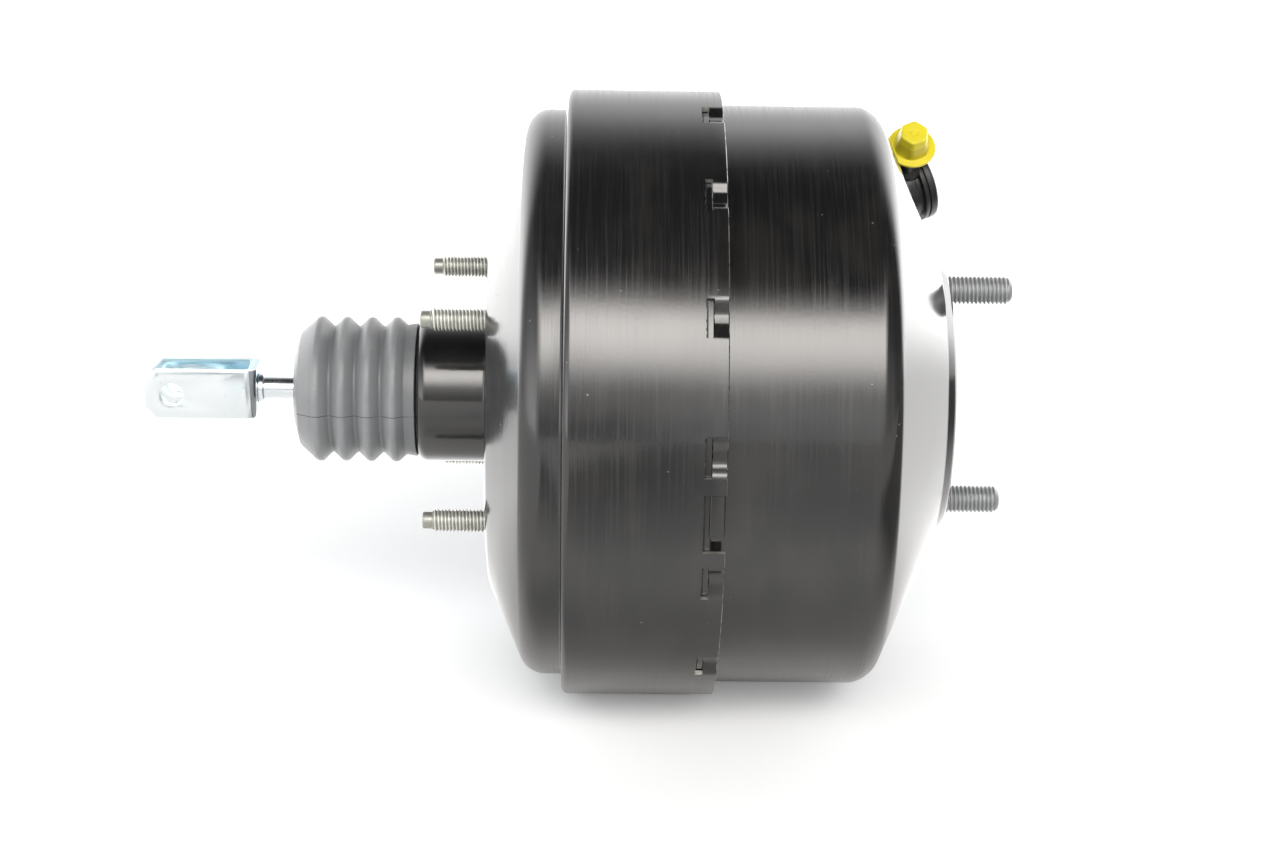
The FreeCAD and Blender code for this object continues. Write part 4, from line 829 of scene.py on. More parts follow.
def joined(meshes: Sequence[bmesh.types.BMesh]) -> bmesh.types.BMesh:
    """Return one mesh that holds several, which are freed.

    Args:
        meshes: The meshes, which are freed.

    Returns:
        The mesh that holds them all.
    """
    whole = bmesh.new()
    for mesh in meshes:
        holder = bpy.data.meshes.new("holder")
        mesh.to_mesh(holder)
        mesh.free()
        whole.from_mesh(holder)
        bpy.data.meshes.remove(holder)
    return whole


def moved(mesh: bmesh.types.BMesh, matrix: Matrix) -> bmesh.types.BMesh:
    """Move a mesh by a matrix in millimetres and return it."""
    bmesh.ops.transform(mesh, matrix=matrix, verts=mesh.verts[:])
    return mesh


def set_down(mesh: bmesh.types.BMesh, name: str, finishes: Sequence[Finish], body: Optional[Body],
             replaced: Sequence[str] = (), sharp: float = 38.0,
             scale: float = MM) -> bpy.types.Object:
    """Make an object of a mesh, dress it and tie it to the frame.

    Args:
        mesh: The mesh, which is freed.
        name: The piece's name.
        finishes: Its finishes, in the order of the faces' material numbers.
        body: The body that it rides on, or None for a piece that is tied to no body.
        replaced: CAD nodes that the piece stands for.
        sharp: Edges that turn by more than this many degrees stay sharp.
        scale: Factor to metres.

    Returns:
        The new object.
    """
    bmesh.ops.scale(mesh, vec=(scale, scale, scale), verts=mesh.verts[:])
    limit = math.radians(sharp)
    for face in mesh.faces:
        face.smooth = True
    for edge in mesh.edges:
        edge.smooth = not (len(edge.link_faces) == 2 and edge.calc_face_angle(0.0) > limit)
    data = bpy.data.meshes.new(name)
    mesh.to_mesh(data)
    mesh.free()
    piece = bpy.data.objects.new(name, data)
    bpy.context.scene.collection.objects.link(piece)
    for finish in finishes:
        data.materials.append(finish.material())
    if body is not None:
        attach(piece, body.value)
    if replaced:
        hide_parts(*replaced)
    log.info("%s: %d faces, rides on %s", name, len(data.polygons), body.value if body else "two bodies")
    return piece


def turn_of(place: Vector) -> float:
    """Return a place's turn round X from +Y towards +Z, in degrees from 0 to 360."""
    return math.degrees(math.atan2(place.z, place.y)) % 360.0


def turn_gap(place: Vector, middle: float) -> float:
    """Return how far a place is turned from a middle, in degrees from -180 to 180."""
    return (turn_of(place) - middle + 180.0) % 360.0 - 180.0


def eased(value: float, start: float, stop: float) -> float:
    """Return a smooth step from 0 at start to 1 at stop."""
    share = max(0.0, min(1.0, (value - start) / (stop - start)))
    return share * share * (3.0 - 2.0 * share)


def drawn_in(mesh: bmesh.types.BMesh, verts: Sequence[bmesh.types.BMVert],
             depth_of: Callable[[Vector], float]) -> None:
    """Press vertices towards the X axis by a depth that depends on their place.

    Args:
        mesh: The mesh that holds them; not used.
        verts: The vertices that are pressed.
        depth_of: Gives the depth at a place.
    """
    for vert in verts:
        radius = math.hypot(vert.co.y, vert.co.z)
        share = (radius - depth_of(vert.co)) / radius
        vert.co.y *= share
        vert.co.z *= share


# Casings

@dataclass
class RearShell:
    """Rear casing: neck, flat, cone, stepped drum and the rim with its lanced tabs and notch."""

    wall: float = 1.6
    neck_end: float = -26.6
    neck_radius: float = 25.9
    neck_mouth: float = 20.9
    flat_radius: float = 69.5
    cone_angle: float = 23.7
    drum_radius: float = 102.5
    step: float = 26.8
    rim_radius: float = 109.6
    rim_end: float = 80.8
    slot_start: float = 73.2
    slot_end: float = 75.8
    tab_count: int = 15
    tab_turn: float = 6.0
    tab_half: float = 3.5
    tab_dent: float = 2.5
    notch_turn: float = 186.0
    notch_half: float = 5.5
    steps: int = 720
    seed: int = 7

    def outline(self) -> list[Bend]:
        """Return the casing's section, outside first.

        Returns:
            The corners of the section.
        """
        slope = math.tan(math.radians(self.cone_angle))
        inside = self.rim_radius - self.wall
        rise = (self.drum_radius - self.flat_radius) * slope
        inner_flat = self.flat_radius - self.wall * math.tan(math.radians(self.cone_angle / 2))
        inner_rise = ((self.drum_radius - self.wall - self.flat_radius) * slope
                      + self.wall / math.cos(math.radians(self.cone_angle)))
        return [
            Bend(self.neck_end, self.neck_mouth),
            Bend(self.neck_end, self.neck_radius, 4.0, 8),
            Bend(0.0, self.neck_radius, 2.5, 6),
            Bend(0.0, self.flat_radius, 14.0, 10),
            Bend(rise, self.drum_radius, 9.0, 12),
            Bend(self.step, self.drum_radius, 1.0, 4),
            Bend(self.step, self.rim_radius, 2.6, 8),
            Bend(self.slot_start, self.rim_radius),
            Bend(self.slot_end, self.rim_radius),
            Bend(self.rim_end, self.rim_radius, 0.45, 3),
            Bend(self.rim_end, inside, 0.35, 2),
            Bend(self.slot_end, inside),
            Bend(self.slot_start, inside),
            Bend(self.step + self.wall, inside, 1.0, 3),
            Bend(self.step + self.wall, self.drum_radius - self.wall, 2.6, 4),
            Bend(inner_rise, self.drum_radius - self.wall, 7.4, 6),
            Bend(self.wall, inner_flat, 12.4, 4),
            Bend(self.wall, self.neck_radius - self.wall, 4.1, 4),
            Bend(self.neck_end + self.wall, self.neck_radius - self.wall, 2.4, 4),
            Bend(self.neck_end + self.wall, self.neck_mouth),
        ]

    def cut(self, mesh: bmesh.types.BMesh, middle: float, half: float, start: float, stop: float) -> None:
        """Take out the rim's skin between two lengths and two turns, and wall the cut with torn steel.

        Args:
            mesh: The casing.
            middle: The cut's middle turn in degrees.
            half: Half its width in degrees.
            start: Where the cut begins along X.
            stop: Where it ends, beyond the rim's end for an open notch.
        """
        near = {vert for vert in mesh.verts if start - SLACK < vert.co.x < stop + SLACK
                and abs(turn_gap(vert.co, middle)) < half + 1.0}
        gone = []
        for face in {face for vert in near for face in vert.link_faces}:
            centre = face.calc_center_median()
            if start < centre.x < stop and abs(turn_gap(centre, middle)) < half:
                gone.append(face)
        bmesh.ops.delete(mesh, geom=gone, context="FACES")
        rim = [edge for edge in mesh.edges if edge.is_boundary]
        if stop < self.rim_end:
            made = bmesh.ops.bridge_loops(mesh, edges=rim)["faces"]
        else:
            back = [edge for edge in rim if all(vert.co.x < start + SLACK for vert in edge.verts)]
            made = bmesh.ops.bridge_loops(mesh, edges=back)["faces"]
            sides = [edge for edge in mesh.edges if edge.is_boundary]
            made += bmesh.ops.holes_fill(mesh, edges=sides, sides=0)["faces"]
        for face in made:
            face.material_index = 1

    def lance_tabs(self, mesh: bmesh.types.BMesh) -> None:
        """Cut the slots and press the strips in front of them inwards, each a little differently.

        Args:
            mesh: The casing.
        """
        chance = random.Random(self.seed)
        for index in range(self.tab_count):
            middle = self.tab_turn + index * 360.0 / self.tab_count
            self.cut(mesh, middle, self.tab_half, self.slot_start, self.slot_end)
            depth = self.tab_dent * chance.uniform(0.86, 1.0)
            lean = chance.uniform(-0.25, 0.25)
            strip = [vert for vert in mesh.verts if vert.co.x > self.slot_end - SLACK
                     and abs(turn_gap(vert.co, middle)) < self.tab_half - SLACK]

            def dent(place: Vector, middle: float = middle, depth: float = depth,
                     lean: float = lean) -> float:
                """Return the dent's depth at a place on the strip."""
                off = turn_gap(place, middle) / self.tab_half
                bowl = 1.0 - eased(abs(off - lean * (1 - abs(off))), 0.22, 1.0)
                return depth * bowl

            drawn_in(mesh, strip, dent)
            torn = [vert for vert in mesh.verts
                    if min(abs(vert.co.x - self.slot_start), abs(vert.co.x - self.slot_end)) < SLACK
                    and abs(turn_gap(vert.co, middle)) < self.tab_half - 0.1]
            for vert in torn:
                vert.co.x += chance.uniform(-0.22, 0.22)

    def build(self) -> bpy.types.Object:
        """Build the casing and set it down.

        Returns:
            The rear casing.
        """
        mesh = turned(self.outline(), self.steps)
        self.lance_tabs(mesh)
        self.cut(mesh, self.notch_turn, self.notch_half, self.slot_start, self.rim_end + 1.0)
        return set_down(mesh, "casing_rear", [PAINT, TORN], Body.HOUSING,
                        ["rear_shell"], sharp=32.0)


@dataclass
class FrontShell:
    """Front casing: locked flange, drum, cone, round boss and its bore, with the locating tongue."""

    wall: float = 1.6
    flange: float = 73.9
    flange_radius: float = 107.7
    drum_radius: float = 104.8
    cone_angle: float = 24.2
    boss_foot: float = 159.4
    boss_foot_radius: float = 53.0
    boss_angle: float = 41.0
    face: float = 163.3
    bore: float = 19.0
    tongue_start: float = 180.6
    tongue_turn: float = 7.7
    steps: int = 360

    def cone_place(self, radius: float) -> float:
        """Return where along X the cone's outside has a radius."""
        slope = math.tan(math.radians(self.cone_angle))
        return self.boss_foot + (self.boss_foot_radius - radius) * slope

    def outline(self) -> list[Bend]:
        """Return the casing's section, outside first.

        Returns:
            The corners of the section.
        """
        wall = self.wall
        skew = wall / math.cos(math.radians(self.cone_angle))
        boss = self.boss_foot_radius - (self.face - self.boss_foot) / math.tan(math.radians(self.boss_angle))
        inner_boss = boss - wall * math.tan(math.radians(self.boss_angle / 2))
        mean = math.radians((self.boss_angle + self.cone_angle) / 2)
        foot = wall / math.cos(math.radians((self.boss_angle - self.cone_angle) / 2))
        return [
            Bend(self.flange, self.drum_radius - wall),
            Bend(self.flange, self.flange_radius),
            Bend(self.flange + wall, self.flange_radius),
            Bend(self.flange + wall, self.drum_radius, 0.8, 3),
            Bend(self.cone_place(self.drum_radius), self.drum_radius, 9.5, 14),
            Bend(self.boss_foot, self.boss_foot_radius, 4.0, 6),
            Bend(self.face, boss, 5.0, 8),
            Bend(self.face, self.bore, 0.4, 2),
            Bend(self.face - wall, self.bore),
            Bend(self.face - wall, inner_boss, 3.4, 4),
            Bend(self.boss_foot - foot * math.cos(mean),
                 self.boss_foot_radius - foot * math.sin(mean), 5.6, 4),
            Bend(self.cone_place(self.drum_radius - wall) - skew, self.drum_radius - wall, 7.9, 6),
        ]

    def tongue(self) -> bmesh.types.BMesh:
        """Return the tongue that stands in the rear casing's notch.

        Returns:
            The tongue as a closed skin in its place.
        """
        mesh = outline_of([
            Bend(self.flange + 1.3, self.flange_radius),
            Bend(self.flange + 1.3, self.flange_radius + self.wall, 0.6, 3),
            Bend(self.flange + 6.4, self.flange_radius + self.wall, 0.6, 3),
            Bend(self.flange + 6.4, self.flange_radius),
        ])
        bmesh.ops.spin(mesh, geom=mesh.verts[:] + mesh.edges[:] + mesh.faces[:], cent=(0, 0, 0),
                       axis=(1, 0, 0), dvec=(0, 0, 0), angle=math.radians(self.tongue_turn), steps=12,
                       use_merge=False, use_duplicate=False)
        bmesh.ops.recalc_face_normals(mesh, faces=mesh.faces[:])
        return moved(mesh, Matrix.Rotation(math.radians(self.tongue_start), 4, "X"))

    def build(self) -> bpy.types.Object:
        """Build the casing and set it down.

        Returns:
            The front casing.
        """
        whole = joined([turned(self.outline(), self.steps), self.tongue()])
        return set_down(whole, "casing_front", [PAINT], Body.HOUSING,
                        ["front_shell"], sharp=32.0)


# Studs

@dataclass
class StudSet:
    """Equal studs with rolled threads, each with its shank and head inside the casing."""

    name: str
    node: str
    finish: Finish
    spots: tuple[tuple[float, float], ...]
    radius: float
    core: float
    pitch: float
    face: float
    tip: float
    shank: tuple[Bend, ...]
    end: tuple[Bend, ...]
    flank: tuple[float, float] = (0.14, 0.46)
    crest: tuple[float, float] = (0.54, 0.62)
    back: float = 0.70
    crest_drop: float = 0.07
    round_steps: int = 40

    def thread(self) -> bmesh.types.BMesh:
        """Return the threaded length as a closed skin between the face and the thread's end.

        Returns:
            The thread as a closed skin round the X axis.
        """
        low, high = sorted((self.face, self.tip))
        mesh = bmesh.new()
        count = math.ceil((high - low) / self.pitch) + 2
        start = low - self.pitch * 1.5
        shoulder = self.radius - self.crest_drop
        ridge = ((self.flank[0], self.core), (self.flank[1], shoulder), (self.crest[0], self.radius),
                 (self.crest[1], self.radius), (self.back, shoulder))
        chain = []
        for index in range(count + 1):
            x = start + index * self.pitch
            chain.append(mesh.verts.new((x, self.core, 0.0)))
            if index < count:
                chain += [mesh.verts.new((x + self.pitch * share, radius, 0.0)) for share, radius in ridge]
        for first, second in zip(chain, chain[1:]):
            mesh.edges.new((first, second))
        bmesh.ops.spin(mesh, geom=mesh.verts[:] + mesh.edges[:], cent=(0, 0, 0), axis=(1, 0, 0),
                       dvec=(self.pitch / self.round_steps, 0, 0), angle=2 * math.pi,
                       steps=self.round_steps, use_merge=False, use_duplicate=False)
        bmesh.ops.remove_doubles(mesh, verts=mesh.verts[:], dist=0.005)
        for place, side in ((low, -1.0), (high, 1.0)):
            bmesh.ops.bisect_plane(mesh, geom=mesh.verts[:] + mesh.edges[:] + mesh.faces[:],
                                   dist=1e-5, plane_co=(place, 0, 0), plane_no=(side, 0, 0),
                                   clear_outer=True)
        bmesh.ops.holes_fill(mesh, edges=[edge for edge in mesh.edges if edge.is_boundary], sides=0)
        self.chamfer(mesh)
        bmesh.ops.recalc_face_normals(mesh, faces=mesh.faces[:])
        return mesh

    def chamfer(self, mesh: bmesh.types.BMesh) -> None:
        """Run the thread out to its core at the free end.

        Args:
            mesh: The thread.
        """
        for vert in mesh.verts:
            radius = math.hypot(vert.co.y, vert.co.z)
            most = self.core - 0.25 + abs(vert.co.x - self.tip) * 0.9
            if radius > most > 0.0:
                vert.co.y *= most / radius
                vert.co.z *= most / radius

    def build(self) -> bpy.types.Object:
        """Build the whole set and set it down.

        Returns:
            The studs as one piece.
        """
        parts = []
        for index, (y, z) in enumerate(self.spots):
            turn = Matrix.Rotation(math.radians(70.0 * index), 4, "X")
            place = Matrix.Translation((0.0, y, z)) @ turn
            parts.append(moved(self.thread(), place))
            parts.append(moved(turned(self.shank, 40), place))
            parts.append(moved(turned(self.end, 40), place))
        return set_down(joined(parts), self.name, [self.finish], Body.HOUSING,
                        [self.node], sharp=50.0)


def bulkhead_studs() -> StudSet:
    """Return the four M8 studs with dog points on the pedal side.

    Returns:
        The set, ready to build.
    """
    return StudSet(
        name="studs_bulkhead", node="firewall_studs", finish=REAR_THREAD,
        spots=((37.0, 37.0), (37.0, -37.0), (-37.0, 37.0), (-37.0, -37.0)),
        radius=4.0, core=3.32, pitch=1.25, face=0.0, tip=-19.6,
        shank=(Bend(-0.02, 0.0), Bend(-0.02, 4.4), Bend(4.1, 4.4), Bend(4.1, 7.5),
               Bend(7.3, 7.5, 0.8, 3), Bend(7.3, 0.0)),
        end=(Bend(-23.0, 0.0), Bend(-23.0, 3.0, 0.6, 4), Bend(-19.5, 3.0), Bend(-19.5, 0.0)))


def cylinder_studs() -> StudSet:
    """Return the two M10 studs on the master cylinder side.

    Returns:
        The set, ready to build.
    """
    return StudSet(
        name="studs_cylinder", node="master_cylinder_studs", finish=FRONT_THREAD,
        spots=((0.0, 40.0), (0.0, -40.0)),
        radius=5.0, core=4.15, pitch=1.5, face=163.3, tip=186.9,
        shank=(Bend(156.4, 0.0), Bend(156.4, 6.8, 0.6, 3), Bend(159.2, 6.8), Bend(159.2, 5.4),
               Bend(163.32, 5.4), Bend(163.32, 0.0)),
        end=(Bend(186.8, 0.0), Bend(186.8, 3.9), Bend(187.5, 3.3, 0.5, 3), Bend(187.5, 0.0)))


# Pedal side

@dataclass
class DustBoot:
    """Grey bellows between the neck and the pedal end of the valve body."""

    mouth: float = -70.6
    hole: float = 7.7
    end_radius: float = 14.0
    end_wall: float = 2.4
    wall: float = 1.8
    first_crest: float = -61.6
    pitch: float = 9.07
    crests: int = 4
    crest: float = 26.9
    valley: float = 22.6
    neck: float = -26.6
    collar: float = 24.2
    collar_length: float = 4.0
    groove: float = 20.6
    lip: float = 21.9
    lip_bore: float = 19.3
    sheet: float = 1.6
    steps: int = 256
    stroke_left: float = 0.318

    def outline(self) -> list[Bend]:
        """Return the boot's section, outside first.

        Returns:
            The corners of the section.
        """
        outer = [
            Bend(self.mouth, self.hole, 0.3, 2),
            Bend(self.mouth, self.end_radius, 1.0, 4),
            Bend(self.mouth + 1.9, self.crest - 6.1, 2.0, 5),
        ]
        inner = [
            Bend(self.mouth + self.end_wall, self.hole),
            Bend(self.mouth + self.end_wall, 20.2, 1.0, 2),
        ]
        for index in range(self.crests):
            place = self.first_crest + self.pitch * index
            outer.append(Bend(place, self.crest + 0.2, 2.1, 8))
            inner.append(Bend(place, self.crest - self.wall, 0.8, 2))
            if index < self.crests - 1:
                outer.append(Bend(place + self.pitch / 2, self.valley, 0.9, 5))
                inner.append(Bend(place + self.pitch / 2, self.valley - self.wall, 1.6, 3))
        start = self.neck - self.collar_length
        end = self.neck + self.sheet
        outer += [
            Bend(start, self.collar - 0.6, 0.5, 3),
            Bend(self.neck - 0.02, self.collar, 0.4, 3),
            Bend(self.neck - 0.02, self.groove),
            Bend(end, self.groove),
            Bend(end, self.lip),
            Bend(end + 2.4, self.lip, 0.5, 2),
            Bend(end + 2.4, self.lip_bore),
            Bend(start, self.lip_bore),
        ]
        return outer + inner[::-1]

    def build(self) -> bpy.types.Object:
        """Build the boot and set it down.

        Returns:
            The boot.
        """
        piece = set_down(turned(self.outline(), self.steps), "boot_bellows", [BOOT], Body.HOUSING,
                         ["dust_boot"], sharp=60.0)
        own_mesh(piece)
        return piece


@dataclass
class PedalFork:
    """The bent fork of the input rod, with its pressed edges broken."""

    node: str = "clevis"
    edge_break: float = 0.45
    sharp: float = 40.0

    def build(self) -> bpy.types.Object:
        """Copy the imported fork, break its edges and set it down.

        Returns:
            The fork.
        """
        mesh = bmesh.new()
        mesh.from_mesh(frame["nodes"][self.node].data)
        bmesh.ops.scale(mesh, vec=(1.0 / MM,) * 3, verts=mesh.verts[:])
        bmesh.ops.remove_doubles(mesh, verts=mesh.verts[:], dist=1e-3)
        limit = math.radians(self.sharp)
        edges = [edge for edge in mesh.edges
                 if len(edge.link_faces) == 2 and edge.calc_face_angle(0.0) > limit]
        bmesh.ops.bevel(mesh, geom=edges, offset=self.edge_break, offset_type="OFFSET", segments=2,
                        profile=0.5, affect="EDGES", material=-1, clamp_overlap=True)
        return set_down(mesh, "fork_pedal", [FORK_ZINC], Body.INPUT_ROD, [self.node],
                        sharp=35.0)


# Vacuum valve

@dataclass
class VacuumValve:
    """Check valve on the front cone, with its grommet, nozzle and transport cap."""

    foot: tuple[float, float, float] = (144.659, 60.670, 60.670)
    slope: float = 24.2
    turn: float = 45.0
    nozzle_height: float = 10.8
    nozzle_radius: float = 3.7
    nozzle_barb: float = 4.3
    nozzle_bore: float = 2.4
    nozzle_reach: float = 33.0
    cap_place: float = 26.6
    cap_length: float = 10.4
    cap_flange: float = 9.0
    cap_root: float = 6.35
    cap_tip: float = 4.95
    cap_wall: float = 0.8
    cap_plate: float = 1.2
    gate_depth: float = 0.35
    hex_start: float = 3.0
    hex_size: float = 1.1
    hex_corner: float = 0.945

    def axes(self) -> tuple[Vector, Vector]:
        """Return the valve's direction off the cone and its nozzle's direction.

        Returns:
            The two directions, each one long.
        """
        slope = math.radians(self.slope)
        turn = math.radians(self.turn)
        radial = Vector((0.0, math.cos(turn), math.sin(turn)))
        normal = Vector((math.cos(slope), 0.0, 0.0)) + radial * math.sin(slope)
        return normal, Vector((0.0, -math.sin(turn), math.cos(turn)))

    def frame_at(self, along_nozzle: bool) -> Matrix:
        """Return the matrix that puts a piece turned round X onto the valve's axis or its nozzle's.

        Args:
            along_nozzle: Whether the piece lies along the nozzle.

        Returns:
            The matrix, in millimetres.
        """
        normal, nozzle = self.axes()
        foot = Vector(self.foot)
        if along_nozzle:
            first, second = nozzle, -normal
            foot = foot + normal * self.nozzle_height
        else:
            first, second = normal, nozzle
        matrix = Matrix((first, second, first.cross(second))).transposed().to_4x4()
        matrix.translation = foot
        return matrix

    def body(self) -> bmesh.types.BMesh:
        """Return the cover's barrel with its rings and grooves.

        Returns:
            The barrel, turned round the X axis.
        """
        return turned([
            Bend(4.42, 11.2), Bend(4.42, 13.4, 0.25, 2), Bend(11.8, 13.4, 0.4, 3), Bend(11.8, 12.6),
            Bend(13.4, 12.6), Bend(13.4, 14.6, 0.45, 3), Bend(15.0, 14.6, 0.3, 3), Bend(15.0, 13.8),
            Bend(15.6, 13.8), Bend(15.6, 14.6, 0.3, 3), Bend(18.8, 14.6, 1.2, 6), Bend(18.8, 9.2, 0.5, 3),
            Bend(18.3, 8.4, 0.5, 3), Bend(18.3, 0.0), Bend(17.2, 0.0), Bend(17.2, 11.2),
        ], 128)

    def nozzle(self) -> bmesh.types.BMesh:
        """Return the nozzle with its root fillet and barb.

        Returns:
            The nozzle, turned round the X axis.
        """
        return turned([
            Bend(12.0, self.nozzle_bore), Bend(12.0, 5.6), Bend(13.6, 5.6, 0.8, 3),
            Bend(15.2, self.nozzle_radius, 1.0, 4), Bend(30.6, self.nozzle_radius),
            Bend(31.0, self.nozzle_barb, 0.2, 2), Bend(self.nozzle_reach, self.nozzle_radius, 0.3, 3),
            Bend(self.nozzle_reach, self.nozzle_bore),
        ], 64)

    def cap(self) -> bmesh.types.BMesh:
        """Return the transport cap with its flange and the gate mark on its end.

        Returns:
            The cap, which lies along the X axis.
        """
        flange = self.cap_place + self.cap_plate
        end = self.cap_place + self.cap_length
        gate = end - self.gate_depth
        wall = self.cap_wall
        mesh = turned([
            Bend(self.cap_place, self.cap_root - wall), Bend(self.cap_place, self.cap_flange, 0.45, 4),
            Bend(flange, self.cap_flange, 0.45, 4), Bend(flange, self.cap_root, 0.5, 3),
            Bend(flange + 1.2, self.cap_root), Bend((flange + end) / 2, (self.cap_root + self.cap_tip) / 2),
            Bend(end, self.cap_tip, 0.9, 5), Bend(end, 1.5, 0.3, 2), Bend(gate, 1.2, 0.2, 2),
            Bend(gate, 0.0), Bend(end - wall, 0.0), Bend(end - wall, self.cap_tip - wall),
        ], 96)
        for vert in mesh.verts:
            radius = math.hypot(vert.co.y, vert.co.z)
            if radius > self.hex_start:
                side = math.atan2(vert.co.z, vert.co.y) % (math.pi / 3) - math.pi / 6
                hexed = self.hex_size * min(self.hex_corner, math.cos(math.pi / 6) / math.cos(side))
                share = 1.0 + (hexed - 1.0) * eased(vert.co.x, flange + 0.2, flange + 1.2)
                vert.co.y *= share
                vert.co.z *= share
        return mesh

    def build(self) -> list[bpy.types.Object]:
        """Build the cover, the nozzle and the cap and set them down.

        Returns:
            The cover with its nozzle, and the cap.
        """
        upright = self.frame_at(False)
        sideways = self.frame_at(True)
        _, nozzle = self.axes()
        foot = sideways.translation
        cap_finish = CapPlastic("plastic_yellow_cap", foot=tuple(foot), along=tuple(nozzle))
        cover = joined([moved(self.body(), upright), moved(self.nozzle(), sideways)])
        return [
            set_down(cover, "valve_cover", [BLACK_PLASTIC], Body.VACUUM_VALVE,
                     ["check_valve_cover"], sharp=40.0),
            set_down(moved(self.cap(), sideways), "cap_transport", [cap_finish], Body.TRANSPORT_CAP,
                     ["transport_cap"], sharp=45.0),
        ]


# Springs and diaphragms

@dataclass(frozen=True)
class Spring:
    """A coil spring that is copied from the imported frame."""

    node: str
    name: str
    body: Body
    joint: str
    travel: float
    axis: tuple[float, float, float] = (1.0, 0.0, 0.0)

    def build(self) -> bpy.types.Object:
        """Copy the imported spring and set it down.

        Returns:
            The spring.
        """
        mesh = bmesh.new()
        mesh.from_mesh(frame["nodes"][self.node].data)
        bmesh.ops.remove_doubles(mesh, verts=mesh.verts[:], dist=1e-6)
        piece = set_down(mesh, self.name, [SPRING], self.body, [self.node],
                         sharp=60.0, scale=1.0)
        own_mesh(piece)
        return piece


SPRINGS = (
    Spring("return_spring", "spring_return", Body.HOUSING, "pedal_stroke", 30.0),
    Spring("input_return_spring", "spring_rod", Body.POWER_PISTON, "valve_travel", 1.75),
    Spring("check_spring", "spring_check", Body.VACUUM_VALVE, "check_lift", 1.0,
           (0.91212, 0.289859, 0.289859)),
)


@dataclass
class Diaphragms:
    """The two rubber diaphragms, each with a clamped bead and a skirt."""

    steps: int = 160
    casing: float = 107.68
    bore: float = 18.7
    hub: float = 23.0
    rear_roll: float = 26.0
    rear_web: float = 19.9
    front_roll: float = 73.4
    front_web: float = 69.9

    def rear_bead(self) -> bmesh.types.BMesh:
        """Return the rear bead with the wall that stays with the casing.

        Returns:
            The bead and its wall as a closed skin.
        """
        return turned([
            Bend(18.5, 95.5), Bend(18.5, 99.7, 2.4), Bend(28.5, 99.7), Bend(28.5, self.casing, 1.2),
            Bend(32.98, self.casing), Bend(32.98, 98.3), Bend(19.9, 98.3, 0.6, 3), Bend(19.9, 96.9, 0.6, 3),
            Bend(self.rear_roll, 96.9), Bend(self.rear_roll, 95.5),
        ], self.steps)

    def rear_sheet(self) -> bmesh.types.BMesh:
        """Return the rear hub, web and skirt.

        Returns:
            The sheet as a closed skin.
        """
        return turned([
            Bend(9.4, self.bore), Bend(9.4, self.hub, 1.0), Bend(12.6, self.hub), Bend(12.6, 89.5, 2.4),
            Bend(18.5, 89.5), Bend(18.5, 95.2), Bend(self.rear_roll, 95.2), Bend(self.rear_roll, 93.8),
            Bend(self.rear_web, 93.8), Bend(self.rear_web, 88.1), Bend(14.0, 88.1), Bend(14.0, self.bore),
        ], self.steps)

    def front_bead(self) -> bmesh.types.BMesh:
        """Return the front bead.

        Returns:
            The bead as a closed skin.
        """
        return turned([
            Bend(68.02, 103.2), Bend(68.02, self.casing), Bend(73.88, self.casing), Bend(73.88, 103.2),
        ], self.steps)

    def front_sheet(self) -> bmesh.types.BMesh:
        """Return the front hub, web and skirt.

        Returns:
            The sheet as a closed skin.
        """
        return turned([
            Bend(59.4, self.bore), Bend(59.4, self.hub, 1.0), Bend(62.6, self.hub), Bend(62.6, 93.5, 2.4),
            Bend(68.5, 93.5), Bend(68.5, 102.9), Bend(self.front_roll, 102.9),
            Bend(self.front_roll, 101.5), Bend(self.front_web, 101.5), Bend(self.front_web, 92.1),
            Bend(64.0, 92.1), Bend(64.0, self.bore),
        ], self.steps)

    def build(self) -> list[bpy.types.Object]:
        """Build the beads and the sheets and set them down.

        Returns:
            The two beads and the two sheets.
        """
        beads = (("rear_diaphragm", "diaphragm_rear_bead", self.rear_bead()),
                 ("front_diaphragm", "diaphragm_front_bead", self.front_bead()))
        sheets = (("rear_diaphragm", "diaphragm_rear", self.rear_sheet(), self.rear_roll, self.rear_web),
                  ("front_diaphragm", "diaphragm_front", self.front_sheet(), self.front_roll, self.front_web))
        pieces = [set_down(mesh, name, [RUBBER], Body.HOUSING, [node])
                  for node, name, mesh in beads]
        for node, name, mesh, held, moving in sheets:
            piece = set_down(mesh, name, [RUBBER], None, [node])
            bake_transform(piece)
            pieces.append(piece)
        return pieces


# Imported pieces

@dataclass
class PackedPieces:
    """The CAD nodes that keep their mesh and get the finish of their slot."""

    def dress(self) -> None:
        """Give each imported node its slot's finish."""
        slots = {entry["node"]: entry["material_slot"] for entry in frame["record"]["subparts"]}
        for name, node in frame["nodes"].items():
            slot = Slot(slots[name])
            if slot is Slot.YELLOW_CAP:
                continue
            finish = SLOT_FINISHES[slot]
            for holder in node.material_slots:
                holder.material = finish.material()
            log.info("%s: packed mesh in %s", name, finish.name)


# Studio

